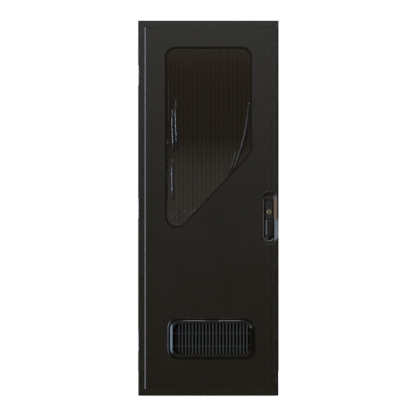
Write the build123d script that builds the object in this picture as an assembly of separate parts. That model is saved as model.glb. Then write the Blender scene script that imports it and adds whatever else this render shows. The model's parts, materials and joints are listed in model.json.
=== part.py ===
"""Caravan entry door: fixed frame, hinged leaf with slanted window, low vent and recessed lock."""
import os

from build123d import *

# Overall size, millimetres. X runs along the width, -Y is the outside, Z is up.
DOOR_WIDTH = 622.0
DOOR_HEIGHT = 1660.0
LEFT = -DOOR_WIDTH / 2
RIGHT = DOOR_WIDTH / 2
CENTRE_Z = DOOR_HEIGHT / 2

# Fixed frame, measured inward from the outer edge
FLANGE_THICK = 3.0
FLANGE_REACH = 14.0
FLANGE_CHAMFER = 1.0
REVEAL_THICK = 3.0
REVEAL_DEPTH = 35.0
FIXING_RADIUS = 2.1
FIXING_Y = 24.5
FIXING_OFFSETS = (300.0, 700.0)
LOCK_SIDE_SHIFT = 40.0
SEAL_EDGE = 8.0
SEAL_WIDTH = 5.5
SEAL_GAP = 0.5
SEAL_CHAMFER = 1.6

# Leaf border and skins
RIM_SHOWING = 7.0
LEAF_GAP = 6.0
LIP_THICK = 11.0
LIP_CHAMFER = 1.5
BODY_EDGE = FLANGE_REACH + LEAF_GAP
STILE_WIDTH = 32.0
CORE_EDGE = BODY_EDGE + STILE_WIDTH
LIP_BACK = -(FLANGE_THICK + LEAF_GAP)
STILE_FACE = LIP_BACK - LIP_THICK
BODY_BACK = 8.0
PANEL_EDGE = 29.5
PANEL_THICK = 3.0
PANEL_BEVEL = 5.0
PANEL_FACE = STILE_FACE - PANEL_THICK
INNER_SETBACK = 3.0
INNER_EDGE = BODY_EDGE + INNER_SETBACK
INNER_THICK = 2.0
INNER_FACE = BODY_BACK + INNER_THICK

# Hinges
HINGE_SPACING = 587.0
HINGE_LENGTH = 88.0
HINGE_MIDDLE = 34.0
HINGE_SPLIT = 1.0
HINGE_END_PLAY = 2.0
KNUCKLE_RADIUS = 3.0
KNUCKLE_PLAY = 1.3
HINGE_PIN_RADIUS = 1.5
PIN_CLEARANCE = 0.05
AXIS_INSET = 0.2
AXIS_DEPTH = 2.0
AXIS_X = LEFT + KNUCKLE_RADIUS + AXIS_INSET
AXIS_Y = STILE_FACE + KNUCKLE_RADIUS + AXIS_DEPTH
NOTCH_WALL = 1.4
TONGUE_THICK = 3.0
TONGUE_REACH = 18.0
HINGE_FOOT = 2.0

# Window, set in from the edges of the door, with a slanting lower right edge
HINGE_SIDE_MARGIN = 119.2
LOCK_SIDE_MARGIN = 117.0
TOP_MARGIN = 116.6
KNEE_DROP = 468.7
TOE_DROP = 883.2
WINDOW_LEFT = LEFT + HINGE_SIDE_MARGIN
WINDOW_RIGHT = RIGHT - LOCK_SIDE_MARGIN
WINDOW_TOP = DOOR_HEIGHT - TOP_MARGIN
KNEE_Z = WINDOW_TOP - KNEE_DROP
TOE_Z = WINDOW_TOP - TOE_DROP
TOP_RADIUS = 47.0
KNEE_RADIUS = 50.0
TOE_RADIUS = 53.0
GASKET_WIDTH = 6.0
GASKET_GROOVE = 3.0
GASKET_SET_BACK = 0.5
PANE_THICK = 4.0
PANE_SET_BACK = 5.0
PANE_FRONT = PANEL_FACE + PANE_SET_BACK
GASKET_HEEL = 2.0
GASKET_BACK = PANE_FRONT + PANE_THICK + GASKET_HEEL
TRIM_LAP = 14.0
TRIM_LEDGE = 8.0
TRIM_SLEEVE = 3.0
TRIM_THICK = 2.0
SCREEN_THICK = 0.8
EDGE_PLAY = 0.2

# Vent
VENT_X = 13.5
VENT_Z = 254.7
VENT_WIDTH = 386.0
VENT_HEIGHT = 183.6
VENT_CORNER = 46.0
CORNER_SHRINK = 0.7
VENT_FLANGE = 3.5
VENT_EDGE = 2.2
COLLAR_WIDTH = 11.2
COLLAR_HEIGHT = 8.5
COLLAR_BEND = 4.6
COLLAR_BEND_RISE = 4.4
COLLAR_LAND = 1.5
VENT_OPENING = 23.0
SLEEVE_WALL = 2.5
SLAT_COUNT = 22
SLAT_PITCH = (VENT_WIDTH - 2 * VENT_OPENING) / (SLAT_COUNT + 0.6)
SLAT_WIDTH = 7.0
SLAT_TURN = 3.0
SLAT_DEPTH = 6.0
CROSS_BAR = 3.4
CROSS_BAR_SHARES = (-0.174, 0.131)
COVER_INSET = 5.0
COVER_THICK = 3.0
COVER_RIBS = 5
RIB_WIDTH = 4.0

# Lock, placed from the right edge and from the middle of the door
LOCK_INSET = 39.4
LOCK_DROP = 41.6
LOCK_X = RIGHT - LOCK_INSET
LOCK_Z = CENTRE_Z - LOCK_DROP
LOCK_WIDTH = 62.4
LOCK_HEIGHT = 238.0
LOCK_ZONE = 12.0
BEZEL_RISE = 6.0
BEZEL_SINK = 4.0
BEZEL_LAND = 1.2
BEZEL_PLAY = 0.3
BEZEL_FRONT = STILE_FACE - BEZEL_RISE
THROAT = STILE_FACE + BEZEL_SINK
DISH_SHIFT = 5.85
DISH_X = LOCK_X - DISH_SHIFT
DISH_WIDTH = 44.5
DISH_HEIGHT = 208.0
DISH_WALL = 2.0
FLOOR_COVER = 10.0
DISH_FLOOR = BODY_BACK - FLOOR_COVER
BOSS_SHIFT = 3.25
BOSS_WIDTH = 30.1
BOSS_RISE = 76.2
BOSS_FALL = 3.4
BOSS_SINK = 0.5
BOSS_X = LOCK_X - BOSS_SHIFT
BOSS_TOP = LOCK_Z + BOSS_RISE
BOSS_BOTTOM = LOCK_Z - BOSS_FALL
BOSS_FACE = STILE_FACE + BOSS_SINK
RIDGE_RISES = (4.0, 12.5)
RIDGE_WIDTH = 2.0
RIDGE_DEPTH = 1.2
KEY_HEIGHT = 25.7
KEY_DEPTH = 11.5
KEY_Z = LOCK_Z + KEY_HEIGHT
KEY_BORE_BACK = BOSS_FACE + KEY_DEPTH
KEY_RISE = 2.0
CYLINDER_RADIUS = 9.95
PLUG_RADIUS = 7.0
PLUG_RISE = 0.5
PLUG_END_PLAY = 0.3
KEYWAY_WIDTH = 2.2
KEYWAY_HEIGHT = 9.0
KEYWAY_DEPTH = 5.0
PADDLE_SHIFT = 1.5
PADDLE_WIDTH = 33.6
PADDLE_HEIGHT = 77.4
PADDLE_GAP = 5.0
PADDLE_RISE = 3.0
PADDLE_CROWN = 4.5
PADDLE_THICK = 6.0
PADDLE_X = LOCK_X - PADDLE_SHIFT
PADDLE_TOP = BOSS_BOTTOM - PADDLE_GAP
PADDLE_BOTTOM = PADDLE_TOP - PADDLE_HEIGHT
PADDLE_CREST = STILE_FACE - PADDLE_RISE
PIVOT_SHIFT = 11.8
PIVOT_SINK = 3.5
PADDLE_AXIS_X = PADDLE_X - PIVOT_SHIFT
PADDLE_AXIS_Y = STILE_FACE + PIVOT_SINK
GRIP_LIP = 3.0
BARREL_RADIUS = 4.2
BARREL_LIFT = 11.4
BARREL_BOTTOM = PADDLE_BOTTOM + BARREL_LIFT
PADDLE_PIN_RADIUS = 2.0
PIN_GRIP = 7.0
LUG_GAP = 0.6
LUG_WALL = 1.0
LUG_TOP = PADDLE_BOTTOM - LUG_GAP
LUG_HEIGHT = 12.0
NOTCH_START = 11.4
NOTCH_OVER = 1.0
NOTCH_UNDER = 4.6
NOTCH_WEB = 2.5
NOTCH_LEFT = LOCK_X + NOTCH_START
NOTCH_TOP = PADDLE_TOP + NOTCH_OVER
NOTCH_BOTTOM = PADDLE_BOTTOM - NOTCH_UNDER
NOTCH_FLOOR = LIP_BACK - NOTCH_WEB
PLATE_THICK = 1.0
PLATE_START = 20.4
FINGER_PLATE_LEFT = LOCK_X + PLATE_START
KEEPER_REACH = 7.0
LOCK_BLOCK_WIDTH = 48.0
LOCK_BLOCK_MARGIN = 30.0
LOCK_BLOCK_HEIGHT = LOCK_HEIGHT + 2 * LOCK_BLOCK_MARGIN

# Latch and inside furniture
LATCH_RISE = 166.6
LATCH_Z = LOCK_Z + LATCH_RISE
LATCH_HEIGHT = 60.0
LATCH_DEPTH = 12.0
BOLT_HEIGHT = 16.0
BOLT_DEPTH = 8.0
BOLT_LENGTH = 6.0
INSIDE_SHIFT = 9.6
INSIDE_X = LOCK_X - INSIDE_SHIFT
INSIDE_WIDTH = 44.0
INSIDE_HEIGHT = 190.0
INSIDE_THICK = 6.0
SPINDLE_RADIUS = 9.0
SPINDLE_LENGTH = 20.0
SPINDLE_RISE = 56.6
SPINDLE_Z = LOCK_Z + SPINDLE_RISE
LEVER_WIDTH = 20.0
LEVER_DROP = 105.0
LEVER_THICK = 9.0

HINGE_HEIGHTS = {
    "upper": CENTRE_Z + HINGE_SPACING,
    "middle": CENTRE_Z,
    "lower": CENTRE_Z - HINGE_SPACING,
}


def block(x0, x1, y0, y1, z0, z1):
    """Plain block between two corners."""
    size = Box(x1 - x0, y1 - y0, z1 - z0, align=(Align.MIN, Align.MIN, Align.MIN))
    return Pos(x0, y0, z0) * size


def prism(outline, y0, y1):
    """Outline drawn on the front view, made solid from y0 back to y1."""
    return extrude(Plane.XZ.offset(-y1) * outline, amount=y1 - y0)


def rod_y(x, z, radius, y0, y1):
    """Round bar that runs from front to back."""
    return prism(Pos(x, z) * Circle(radius), y0, y1)


def rod_z(x, y, radius, z0, z1):
    """Upright round bar."""
    bar = Cylinder(radius, z1 - z0, align=(Align.CENTER, Align.CENTER, Align.MIN))
    return Pos(x, y, z0) * bar


def door_outline(inset):
    """Rectangle of the whole door, drawn in by an inset."""
    return Pos(0, CENTRE_Z) * Rectangle(DOOR_WIDTH - 2 * inset, DOOR_HEIGHT - 2 * inset)


def ring(inset0, inset1, y0, y1):
    """Rectangular ring between two insets."""
    return prism(door_outline(inset0) - door_outline(inset1), y0, y1)


def mitre_region(side, depth):
    """Trapezium that holds one side of a mitred ring."""
    x, z, d = RIGHT, DOOR_HEIGHT, depth
    corners = {
        "top": ((-x, z), (x, z), (x - d, z - d), (-x + d, z - d)),
        "bottom": ((-x, 0), (x, 0), (x - d, d), (-x + d, d)),
        "left": ((-x, 0), (-x, z), (-x + d, z - d), (-x + d, d)),
        "right": ((x, 0), (x, z), (x - d, z - d), (x - d, d)),
    }[side]
    return make_face(Polyline(*corners, close=True))


def mitred(solid, side, depth):
    """One side of a ring, cut at 45 degrees at both ends."""
    return solid & prism(mitre_region(side, depth), PANEL_FACE - 1, REVEAL_DEPTH + 1)


def stadium(x, z, width, height):
    """Upright outline with round ends."""
    return Pos(x, z) * SlotOverall(height, width, rotation=90)


def front_edges(solid):
    """Outer edges of the face that looks outside."""
    return solid.faces().sort_by(Axis.Y)[0].outer_wire().edges()


def frame_member(side):
    """Side of the fixed frame: flange on the wall and reveal leg through it."""
    flange = ring(0, FLANGE_REACH, -FLANGE_THICK, 0)
    flange = chamfer(front_edges(flange), FLANGE_CHAMFER)
    leg = ring(FLANGE_REACH - REVEAL_THICK, FLANGE_REACH, 0, REVEAL_DEPTH)
    return mitred(flange + leg, side, FLANGE_REACH)


def frame_jamb(side, shift):
    """Upright frame member with fixing holes through its reveal leg."""
    jamb = frame_member(side)
    x = LEFT if side == "left" else RIGHT - FLANGE_REACH
    for offset in FIXING_OFFSETS:
        for z in (CENTRE_Z - offset + shift, CENTRE_Z + offset - shift):
            hole = Cylinder(FIXING_RADIUS, FLANGE_REACH, rotation=(0, 90, 0))
            jamb -= Pos(x + FLANGE_REACH / 2, FIXING_Y, z) * hole
    return jamb


def door_seal():
    """Soft bulb that stands on the flange behind the leaf's lip."""
    seal = ring(SEAL_EDGE, SEAL_EDGE + SEAL_WIDTH, LIP_BACK + SEAL_GAP, -FLANGE_THICK)
    return chamfer(seal.faces().sort_by(Axis.Y)[0].edges(), SEAL_CHAMFER)


def hinge_spans(z):
    """Heights of the lower, middle and upper knuckle of one hinge."""
    half, mid = HINGE_LENGTH / 2, HINGE_MIDDLE / 2
    return (z - half, z - mid - HINGE_SPLIT), (z - mid, z + mid), (z + mid + HINGE_SPLIT, z + half)


def hinge_frame_half(z):
    """Foot on the flange with two knuckles and the pin."""
    low, mid, high = hinge_spans(z)
    foot_front = -FLANGE_THICK - HINGE_FOOT
    left = AXIS_X - KNUCKLE_RADIUS
    half = block(left, LEFT + SEAL_EDGE - SEAL_GAP, foot_front, -FLANGE_THICK, low[0], high[1])
    for z0, z1 in (low, high):
        half += rod_z(AXIS_X, AXIS_Y, KNUCKLE_RADIUS, z0, z1)
        half += block(AXIS_X - TONGUE_THICK / 2, AXIS_X + TONGUE_THICK / 2, AXIS_Y, foot_front, z0, z1)
    return half + rod_z(AXIS_X, AXIS_Y, HINGE_PIN_RADIUS, low[0], high[1])


def hinge_tongue(z):
    """Flat tongue that carries the middle knuckle from a slot in the stile."""
    z0, z1 = hinge_spans(z)[1]
    half = TONGUE_THICK / 2
    return block(AXIS_X, LEFT + TONGUE_REACH, AXIS_Y - half, AXIS_Y + half, z0, z1)


def hinge_leaf_half(z):
    """Middle knuckle with its tongue and bore."""
    z0, z1 = hinge_spans(z)[1]
    half = rod_z(AXIS_X, AXIS_Y, KNUCKLE_RADIUS, z0, z1) + hinge_tongue(z)
    return half - rod_z(AXIS_X, AXIS_Y, HINGE_PIN_RADIUS + PIN_CLEARANCE, z0 - 1, z1 + 1)


def leaf_border():
    """Ring of the leaf: outer lip over the frame and body inside the reveal."""
    lip = ring(RIM_SHOWING, CORE_EDGE, STILE_FACE, LIP_BACK)
    lip = chamfer(front_edges(lip), LIP_CHAMFER)
    return lip + ring(BODY_EDGE, CORE_EDGE, LIP_BACK, BODY_BACK)


def leaf_member(side):
    """Mitred stile or rail of the leaf."""
    return mitred(leaf_border(), side, CORE_EDGE)


def hinge_stile():
    """Stile on the hinge side, notched for the knuckles."""
    stile = leaf_member("left")
    wall = AXIS_X + KNUCKLE_RADIUS + KNUCKLE_PLAY
    for z in HINGE_HEIGHTS.values():
        half = HINGE_LENGTH / 2 + HINGE_END_PLAY
        stile -= block(LEFT, wall, STILE_FACE + NOTCH_WALL, LIP_BACK, z - half, z + half)
        stile -= hinge_tongue(z)
    return stile


def finger_notch():
    """Space beside the paddle, open to the edge of the leaf."""
    return block(NOTCH_LEFT, RIGHT, BEZEL_FRONT, NOTCH_FLOOR, NOTCH_BOTTOM, NOTCH_TOP)


def bezel_outline(grow):
    """Outer outline of the lock."""
    return stadium(LOCK_X, LOCK_Z, LOCK_WIDTH + 2 * grow, LOCK_HEIGHT + 2 * grow)


def dish_outline(grow):
    """Outline of the deep part of the lock recess."""
    return stadium(DISH_X, LOCK_Z, DISH_WIDTH + 2 * grow, DISH_HEIGHT + 2 * grow)


def lock_pocket():
    """Cut-out for the lock, right through the leaf behind its bezel."""
    pocket = prism(bezel_outline(BEZEL_PLAY), PANEL_FACE, THROAT)
    return pocket + prism(dish_outline(DISH_WALL), THROAT, BODY_BACK)


def latch_bolt():
    """Sprung bolt, drawn back level with its plate."""
    x = RIGHT - BODY_EDGE
    mid = (BODY_BACK + LIP_BACK) / 2
    return block(x - BOLT_LENGTH, x + PLATE_THICK, mid - BOLT_DEPTH / 2, mid + BOLT_DEPTH / 2,
                 LATCH_Z - BOLT_HEIGHT / 2, LATCH_Z + BOLT_HEIGHT / 2)


def latch_plate():
    """Face plate of the latch on the edge of the leaf."""
    x = RIGHT - BODY_EDGE
    mid = (BODY_BACK + LIP_BACK) / 2
    plate = block(x, x + PLATE_THICK, mid - LATCH_DEPTH / 2, mid + LATCH_DEPTH / 2,
                  LATCH_Z - LATCH_HEIGHT / 2, LATCH_Z + LATCH_HEIGHT / 2)
    return plate - latch_bolt()


def lock_stile(z0, z1):
    """Length of the lock stile, cut out for the lock, the notch and the bolt."""
    stile = leaf_member("right") - lock_pocket() - finger_notch() - latch_bolt()
    return stile & block(0, RIGHT, STILE_FACE, BODY_BACK, z0, z1)


def lock_block():
    """Timber block in the core that the lock is screwed to, uncut."""
    right = RIGHT - CORE_EDGE
    half = LOCK_BLOCK_HEIGHT / 2
    return block(right - LOCK_BLOCK_WIDTH, right, STILE_FACE, BODY_BACK, LOCK_Z - half, LOCK_Z + half)


def window_outline(grow):
    """Window opening with its slanting lower edge, grown or drawn in."""
    corners = ((WINDOW_LEFT, WINDOW_TOP), (WINDOW_RIGHT, WINDOW_TOP),
               (WINDOW_RIGHT, KNEE_Z), (WINDOW_LEFT, TOE_Z))
    face = make_face(Polyline(*corners, close=True))
    tops = face.vertices().group_by(Axis.Y)[-1]
    knee = face.vertices().sort_by(Axis.Y)[1]
    toe = face.vertices().sort_by(Axis.Y)[0]
    face = fillet(tops, TOP_RADIUS)
    face = fillet(face.vertices().sort_by_distance(knee)[0], KNEE_RADIUS)
    face = fillet(face.vertices().sort_by_distance(toe)[0], TOE_RADIUS)
    return face if grow == 0 else offset(face, amount=grow)


def vent_outline(inset):
    """Rounded outline of the vent, drawn in by an inset."""
    radius = VENT_CORNER - CORNER_SHRINK * inset
    size = RectangleRounded(VENT_WIDTH - 2 * inset, VENT_HEIGHT - 2 * inset, radius)
    return Pos(VENT_X, VENT_Z) * size


def leaf_openings(y0, y1):
    """Window and vent holes through one layer of the leaf."""
    duct = vent_outline(VENT_OPENING - SLEEVE_WALL)
    return prism(window_outline(0), y0, y1) + prism(duct, y0, y1)


def core():
    """Foam core between the skins."""
    slab = prism(door_outline(CORE_EDGE), STILE_FACE, BODY_BACK)
    return slab - leaf_openings(STILE_FACE, BODY_BACK) - lock_block()


def outer_panel():
    """Raised outer skin with a bevelled edge."""
    back = Plane.XZ.offset(-STILE_FACE) * door_outline(PANEL_EDGE)
    front = Plane.XZ.offset(-PANEL_FACE) * door_outline(PANEL_EDGE + PANEL_BEVEL)
    skin = loft([back.face(), front.face()], ruled=True)
    return skin - leaf_openings(PANEL_FACE, STILE_FACE) - lock_pocket() - finger_notch()


def inner_panel():
    """Flat skin on the room side."""
    skin = prism(door_outline(INNER_EDGE), BODY_BACK, INNER_FACE)
    return skin - leaf_openings(BODY_BACK, INNER_FACE)


def window_gasket():
    """Rubber channel round the pane."""
    outline = window_outline(0) - window_outline(-GASKET_WIDTH)
    gasket = prism(outline, PANEL_FACE + GASKET_SET_BACK, GASKET_BACK)
    return gasket - prism(window_outline(-GASKET_GROOVE), PANE_FRONT, PANE_FRONT + PANE_THICK)


def window_pane():
    """Tinted pane held in the gasket."""
    return prism(window_outline(-GASKET_GROOVE - EDGE_PLAY), PANE_FRONT, PANE_FRONT + PANE_THICK)


def window_inner_trim():
    """Trim on the room side: lap on the skin, sleeve through the leaf, ledge for the screen."""
    outline = window_outline(TRIM_LAP) - window_outline(-TRIM_LEDGE)
    lap = prism(outline, INNER_FACE, INNER_FACE + TRIM_THICK)
    return lap + prism(window_outline(0) - window_outline(-TRIM_SLEEVE), GASKET_BACK, INNER_FACE)


def window_screen():
    """Thin sheet that stands for the woven insect screen."""
    return prism(window_outline(-TRIM_SLEEVE - EDGE_PLAY), INNER_FACE - SCREEN_THICK, INNER_FACE)


def vent_collar(face):
    """Raised collar whose slope bends once on its way up to a narrow land round the opening."""
    foot = VENT_OPENING - COLLAR_WIDTH
    steps = ((foot, 0), (foot + COLLAR_BEND, COLLAR_BEND_RISE), (VENT_OPENING - COLLAR_LAND, COLLAR_HEIGHT))
    sections = [Plane.XZ.offset(rise - face) * vent_outline(inset) for inset, rise in steps]
    return loft([section.face() for section in sections], ruled=True)


def vent_surround():
    """Flange, raised round collar and sleeve of the vent."""
    face = PANEL_FACE - VENT_FLANGE
    flange = prism(vent_outline(0), face, PANEL_FACE)
    flange = chamfer(front_edges(flange), VENT_EDGE)
    sleeve = prism(vent_outline(VENT_OPENING - SLEEVE_WALL), PANEL_FACE, INNER_FACE)
    opening = prism(vent_outline(VENT_OPENING), face - COLLAR_HEIGHT, INNER_FACE)
    return flange + vent_collar(face) + sleeve - opening


def vent_slat(x):
    """Upright slat whose front is turned a little towards the hinges."""
    half = SLAT_WIDTH / 2
    plan = Polyline((-half, SLAT_DEPTH), (-half, SLAT_TURN), (half, 0), (half, SLAT_DEPTH), close=True)
    bar = extrude(make_face(plan), amount=VENT_HEIGHT)
    return Pos(x, PANEL_FACE, VENT_Z - VENT_HEIGHT / 2) * bar


def vent_grille():
    """Upright slats joined by two cross bars, which all end on the wall of the collar."""
    back = PANEL_FACE + SLAT_DEPTH
    opening = vent_outline(VENT_OPENING)
    bars = Part()
    for i in range(SLAT_COUNT):
        bars += vent_slat(VENT_X + (i - (SLAT_COUNT - 1) / 2) * SLAT_PITCH)
    for share in CROSS_BAR_SHARES:
        z = VENT_Z + share * VENT_HEIGHT
        bars += block(VENT_X - VENT_WIDTH / 2, VENT_X + VENT_WIDTH / 2, back - CROSS_BAR, back,
                      z - CROSS_BAR / 2, z + CROSS_BAR / 2)
    return bars & prism(opening, PANEL_FACE, back)


def vent_inner_cover():
    """Closed cover over the vent on the room side, with level ribs."""
    face = INNER_FACE + COVER_THICK
    cover = prism(vent_outline(COVER_INSET), INNER_FACE, face)
    reach = VENT_WIDTH / 2 - VENT_CORNER
    for i in range(COVER_RIBS):
        z = VENT_Z + (i - (COVER_RIBS - 1) / 2) * VENT_HEIGHT / (COVER_RIBS + 2)
        cover += block(VENT_X - reach, VENT_X + reach, face, face + RIB_WIDTH / 2,
                       z - RIB_WIDTH / 2, z + RIB_WIDTH / 2)
    return cover


def lock_dish():
    """Bezel with a lopsided funnel to the recess, floor, and a lug for the paddle pin."""
    body = prism(bezel_outline(0), BEZEL_FRONT, THROAT)
    body += prism(dish_outline(DISH_WALL), THROAT, DISH_FLOOR + DISH_WALL)
    mouth = Plane.XZ.offset(-BEZEL_FRONT) * bezel_outline(-BEZEL_LAND)
    throat = Plane.XZ.offset(-THROAT) * dish_outline(0)
    body -= loft([mouth.face(), throat.face()], ruled=True)
    body -= prism(dish_outline(0), THROAT, DISH_FLOOR)
    body -= finger_notch()
    half = BARREL_RADIUS + LUG_WALL
    body += block(PADDLE_AXIS_X - half, PADDLE_AXIS_X + half, PADDLE_AXIS_Y - half, DISH_FLOOR,
                  LUG_TOP - LUG_HEIGHT, LUG_TOP)
    return body - paddle_rod(PIN_CLEARANCE)


def paddle_rod(grow):
    """Pin of the pull paddle, or its bore when grown."""
    return rod_z(PADDLE_AXIS_X, PADDLE_AXIS_Y, PADDLE_PIN_RADIUS + grow, LUG_TOP - PIN_GRIP,
                 BOSS_BOTTOM + PIN_GRIP)


def arch(x, bottom, top, width, upside_down=False):
    """Rectangle with one round end, at its top or its foot."""
    radius = width / 2
    centre = bottom + radius if upside_down else top - radius
    square_end = top if upside_down else bottom
    outline = Pos(x, centre) * Circle(radius)
    return outline + Pos(x, (centre + square_end) / 2) * Rectangle(width, abs(square_end - centre))


def lock_boss():
    """Round-topped boss with two ridges, a key bore and a pin hole."""
    boss = prism(arch(BOSS_X, BOSS_BOTTOM, BOSS_TOP, BOSS_WIDTH), BOSS_FACE, DISH_FLOOR)
    for rise in RIDGE_RISES:
        z = BOSS_BOTTOM + rise
        boss -= block(BOSS_X - BOSS_WIDTH / 2, BOSS_X + BOSS_WIDTH / 2, BOSS_FACE, BOSS_FACE + RIDGE_DEPTH,
                      z - RIDGE_WIDTH / 2, z + RIDGE_WIDTH / 2)
    boss -= rod_y(BOSS_X, KEY_Z, CYLINDER_RADIUS + PIN_CLEARANCE, BOSS_FACE, KEY_BORE_BACK)
    return boss - paddle_rod(PIN_CLEARANCE)


def key_cylinder():
    """Brass housing of the key plug."""
    front = BOSS_FACE - KEY_RISE
    tube = rod_y(BOSS_X, KEY_Z, CYLINDER_RADIUS, front, KEY_BORE_BACK)
    return tube - rod_y(BOSS_X, KEY_Z, PLUG_RADIUS + PIN_CLEARANCE, front, KEY_BORE_BACK)


def key_plug():
    """Turning plug with its keyway."""
    front = BOSS_FACE - KEY_RISE - PLUG_RISE
    plug = rod_y(BOSS_X, KEY_Z, PLUG_RADIUS, front, KEY_BORE_BACK - PLUG_END_PLAY)
    return plug - block(BOSS_X - KEYWAY_WIDTH / 2, BOSS_X + KEYWAY_WIDTH / 2, front, front + KEYWAY_DEPTH,
                        KEY_Z - KEYWAY_HEIGHT / 2, KEY_Z + KEYWAY_HEIGHT / 2)


def pull_paddle():
    """Pull paddle: crowned plate with a round foot, hinge barrel and a grip lip."""
    half = PADDLE_WIDTH / 2
    edge = PADDLE_CREST + PADDLE_CROWN
    back = PADDLE_CREST + PADDLE_THICK
    crown = ThreePointArc((-half, edge), (0, PADDLE_CREST), (half, edge))
    sides = Polyline((half, edge), (half, back), (-half, back), (-half, edge))
    plan = make_face([*crown.edges(), *sides.edges()])
    bar = Pos(PADDLE_X, 0, PADDLE_BOTTOM) * extrude(plan, amount=PADDLE_TOP - PADDLE_BOTTOM)
    outline = arch(PADDLE_X, PADDLE_BOTTOM, PADDLE_TOP, PADDLE_WIDTH, upside_down=True)
    paddle = bar & prism(outline, PADDLE_CREST, back)
    paddle += rod_z(PADDLE_AXIS_X, PADDLE_AXIS_Y, BARREL_RADIUS, BARREL_BOTTOM, PADDLE_TOP)
    right = PADDLE_X + half
    paddle += block(right - GRIP_LIP, right, back, back + GRIP_LIP, PADDLE_BOTTOM + half, PADDLE_TOP)
    return paddle - paddle_rod(PIN_CLEARANCE)


def finger_plate():
    """Metal plate on the floor of the finger notch."""
    edge = RIGHT - RIM_SHOWING
    return block(FINGER_PLATE_LEFT, edge, NOTCH_FLOOR - PLATE_THICK, NOTCH_FLOOR, NOTCH_BOTTOM, NOTCH_TOP)


def keeper_plate():
    """Metal plate on the rim beside the lock."""
    return block(RIGHT - KEEPER_REACH, RIGHT, -FLANGE_THICK - PLATE_THICK, -FLANGE_THICK,
                 NOTCH_BOTTOM, NOTCH_TOP)


def inside_plate():
    """Backing plate of the inside handle."""
    outline = stadium(INSIDE_X, LOCK_Z, INSIDE_WIDTH, INSIDE_HEIGHT)
    return prism(outline, INNER_FACE, INNER_FACE + INSIDE_THICK)


def inside_handle():
    """Inside lever that hangs straight down from its spindle."""
    foot = INNER_FACE + INSIDE_THICK
    end = foot + SPINDLE_LENGTH
    outline = stadium(INSIDE_X, SPINDLE_Z + LEVER_WIDTH / 2 - LEVER_DROP / 2, LEVER_WIDTH, LEVER_DROP)
    return rod_y(INSIDE_X, SPINDLE_Z, SPINDLE_RADIUS, foot, end) + prism(outline, end, end + LEVER_THICK)


def all_parts():
    """Every piece by its name."""
    zone = LOCK_HEIGHT / 2 + LOCK_ZONE
    parts = {
        "frame_head": frame_member("top"),
        "frame_sill": frame_member("bottom"),
        "frame_hinge_jamb": frame_jamb("left", 0),
        "frame_lock_jamb": frame_jamb("right", LOCK_SIDE_SHIFT),
        "door_seal": door_seal(),
        "keeper_plate": keeper_plate(),
        "hinge_stile": hinge_stile(),
        "lock_stile_upper": lock_stile(LOCK_Z + zone, DOOR_HEIGHT),
        "lock_stile_middle": lock_stile(LOCK_Z - zone, LOCK_Z + zone),
        "lock_stile_lower": lock_stile(0, LOCK_Z - zone),
        "top_rail": leaf_member("top"),
        "bottom_rail": leaf_member("bottom"),
        "leaf_core": core(),
        "lock_block": lock_block() - lock_pocket(),
        "outer_panel": outer_panel(),
        "inner_panel": inner_panel(),
        "window_gasket": window_gasket(),
        "window_pane": window_pane(),
        "window_inner_trim": window_inner_trim(),
        "window_screen": window_screen(),
        "vent_surround": vent_surround(),
        "vent_grille": vent_grille(),
        "vent_inner_cover": vent_inner_cover(),
        "lock_dish": lock_dish(),
        "lock_boss": lock_boss(),
        "key_cylinder": key_cylinder(),
        "key_plug": key_plug(),
        "pull_paddle": pull_paddle(),
        "paddle_pin": paddle_rod(0),
        "finger_plate": finger_plate(),
        "latch_plate": latch_plate(),
        "latch_bolt": latch_bolt(),
        "inside_plate": inside_plate(),
        "inside_handle": inside_handle(),
    }
    for name, z in HINGE_HEIGHTS.items():
        parts[f"hinge_frame_{name}"] = hinge_frame_half(z)
        parts[f"hinge_leaf_{name}"] = hinge_leaf_half(z)
    return parts


os.makedirs("parts", exist_ok=True)
for part_name, shape in all_parts().items():
    export_step(shape, f"parts/{part_name}.step")
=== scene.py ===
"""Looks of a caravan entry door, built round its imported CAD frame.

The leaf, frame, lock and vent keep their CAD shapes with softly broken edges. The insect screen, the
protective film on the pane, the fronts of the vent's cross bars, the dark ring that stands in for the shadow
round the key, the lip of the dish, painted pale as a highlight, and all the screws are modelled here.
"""

import json
import logging
import math
from dataclasses import dataclass, replace
from enum import Enum

import bmesh
import bpy
from mathutils import Matrix, Vector

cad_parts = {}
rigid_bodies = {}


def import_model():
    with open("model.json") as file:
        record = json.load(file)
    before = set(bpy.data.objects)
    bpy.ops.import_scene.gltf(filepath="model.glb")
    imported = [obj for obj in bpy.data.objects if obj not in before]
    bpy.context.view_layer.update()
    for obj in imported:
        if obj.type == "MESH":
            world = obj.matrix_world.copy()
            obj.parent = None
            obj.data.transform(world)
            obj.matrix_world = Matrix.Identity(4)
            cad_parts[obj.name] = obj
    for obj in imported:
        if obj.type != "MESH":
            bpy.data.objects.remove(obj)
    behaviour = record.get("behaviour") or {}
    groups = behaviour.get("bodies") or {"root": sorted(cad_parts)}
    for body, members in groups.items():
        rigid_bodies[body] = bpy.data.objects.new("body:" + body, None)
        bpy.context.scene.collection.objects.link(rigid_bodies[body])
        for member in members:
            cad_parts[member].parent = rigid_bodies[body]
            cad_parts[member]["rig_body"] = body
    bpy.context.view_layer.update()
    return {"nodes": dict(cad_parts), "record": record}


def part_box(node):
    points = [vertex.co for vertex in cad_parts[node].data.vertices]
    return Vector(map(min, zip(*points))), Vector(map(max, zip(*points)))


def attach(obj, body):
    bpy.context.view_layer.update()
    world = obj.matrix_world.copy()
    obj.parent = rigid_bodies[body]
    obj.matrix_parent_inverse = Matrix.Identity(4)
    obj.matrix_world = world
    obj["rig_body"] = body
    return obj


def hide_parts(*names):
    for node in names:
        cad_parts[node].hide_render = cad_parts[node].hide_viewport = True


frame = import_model()
LOG = logging.getLogger("caravan_door")
MM = 0.001
LIFT_LAYER = "film_lift"
# Distances under which the points of a CAD node, and of a cut, count as one
WELD = 0.002 * MM
CUT_WELD = 0.0001 * MM
# Bevel profile that follows a circle
CIRCLE = 0.5
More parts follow.
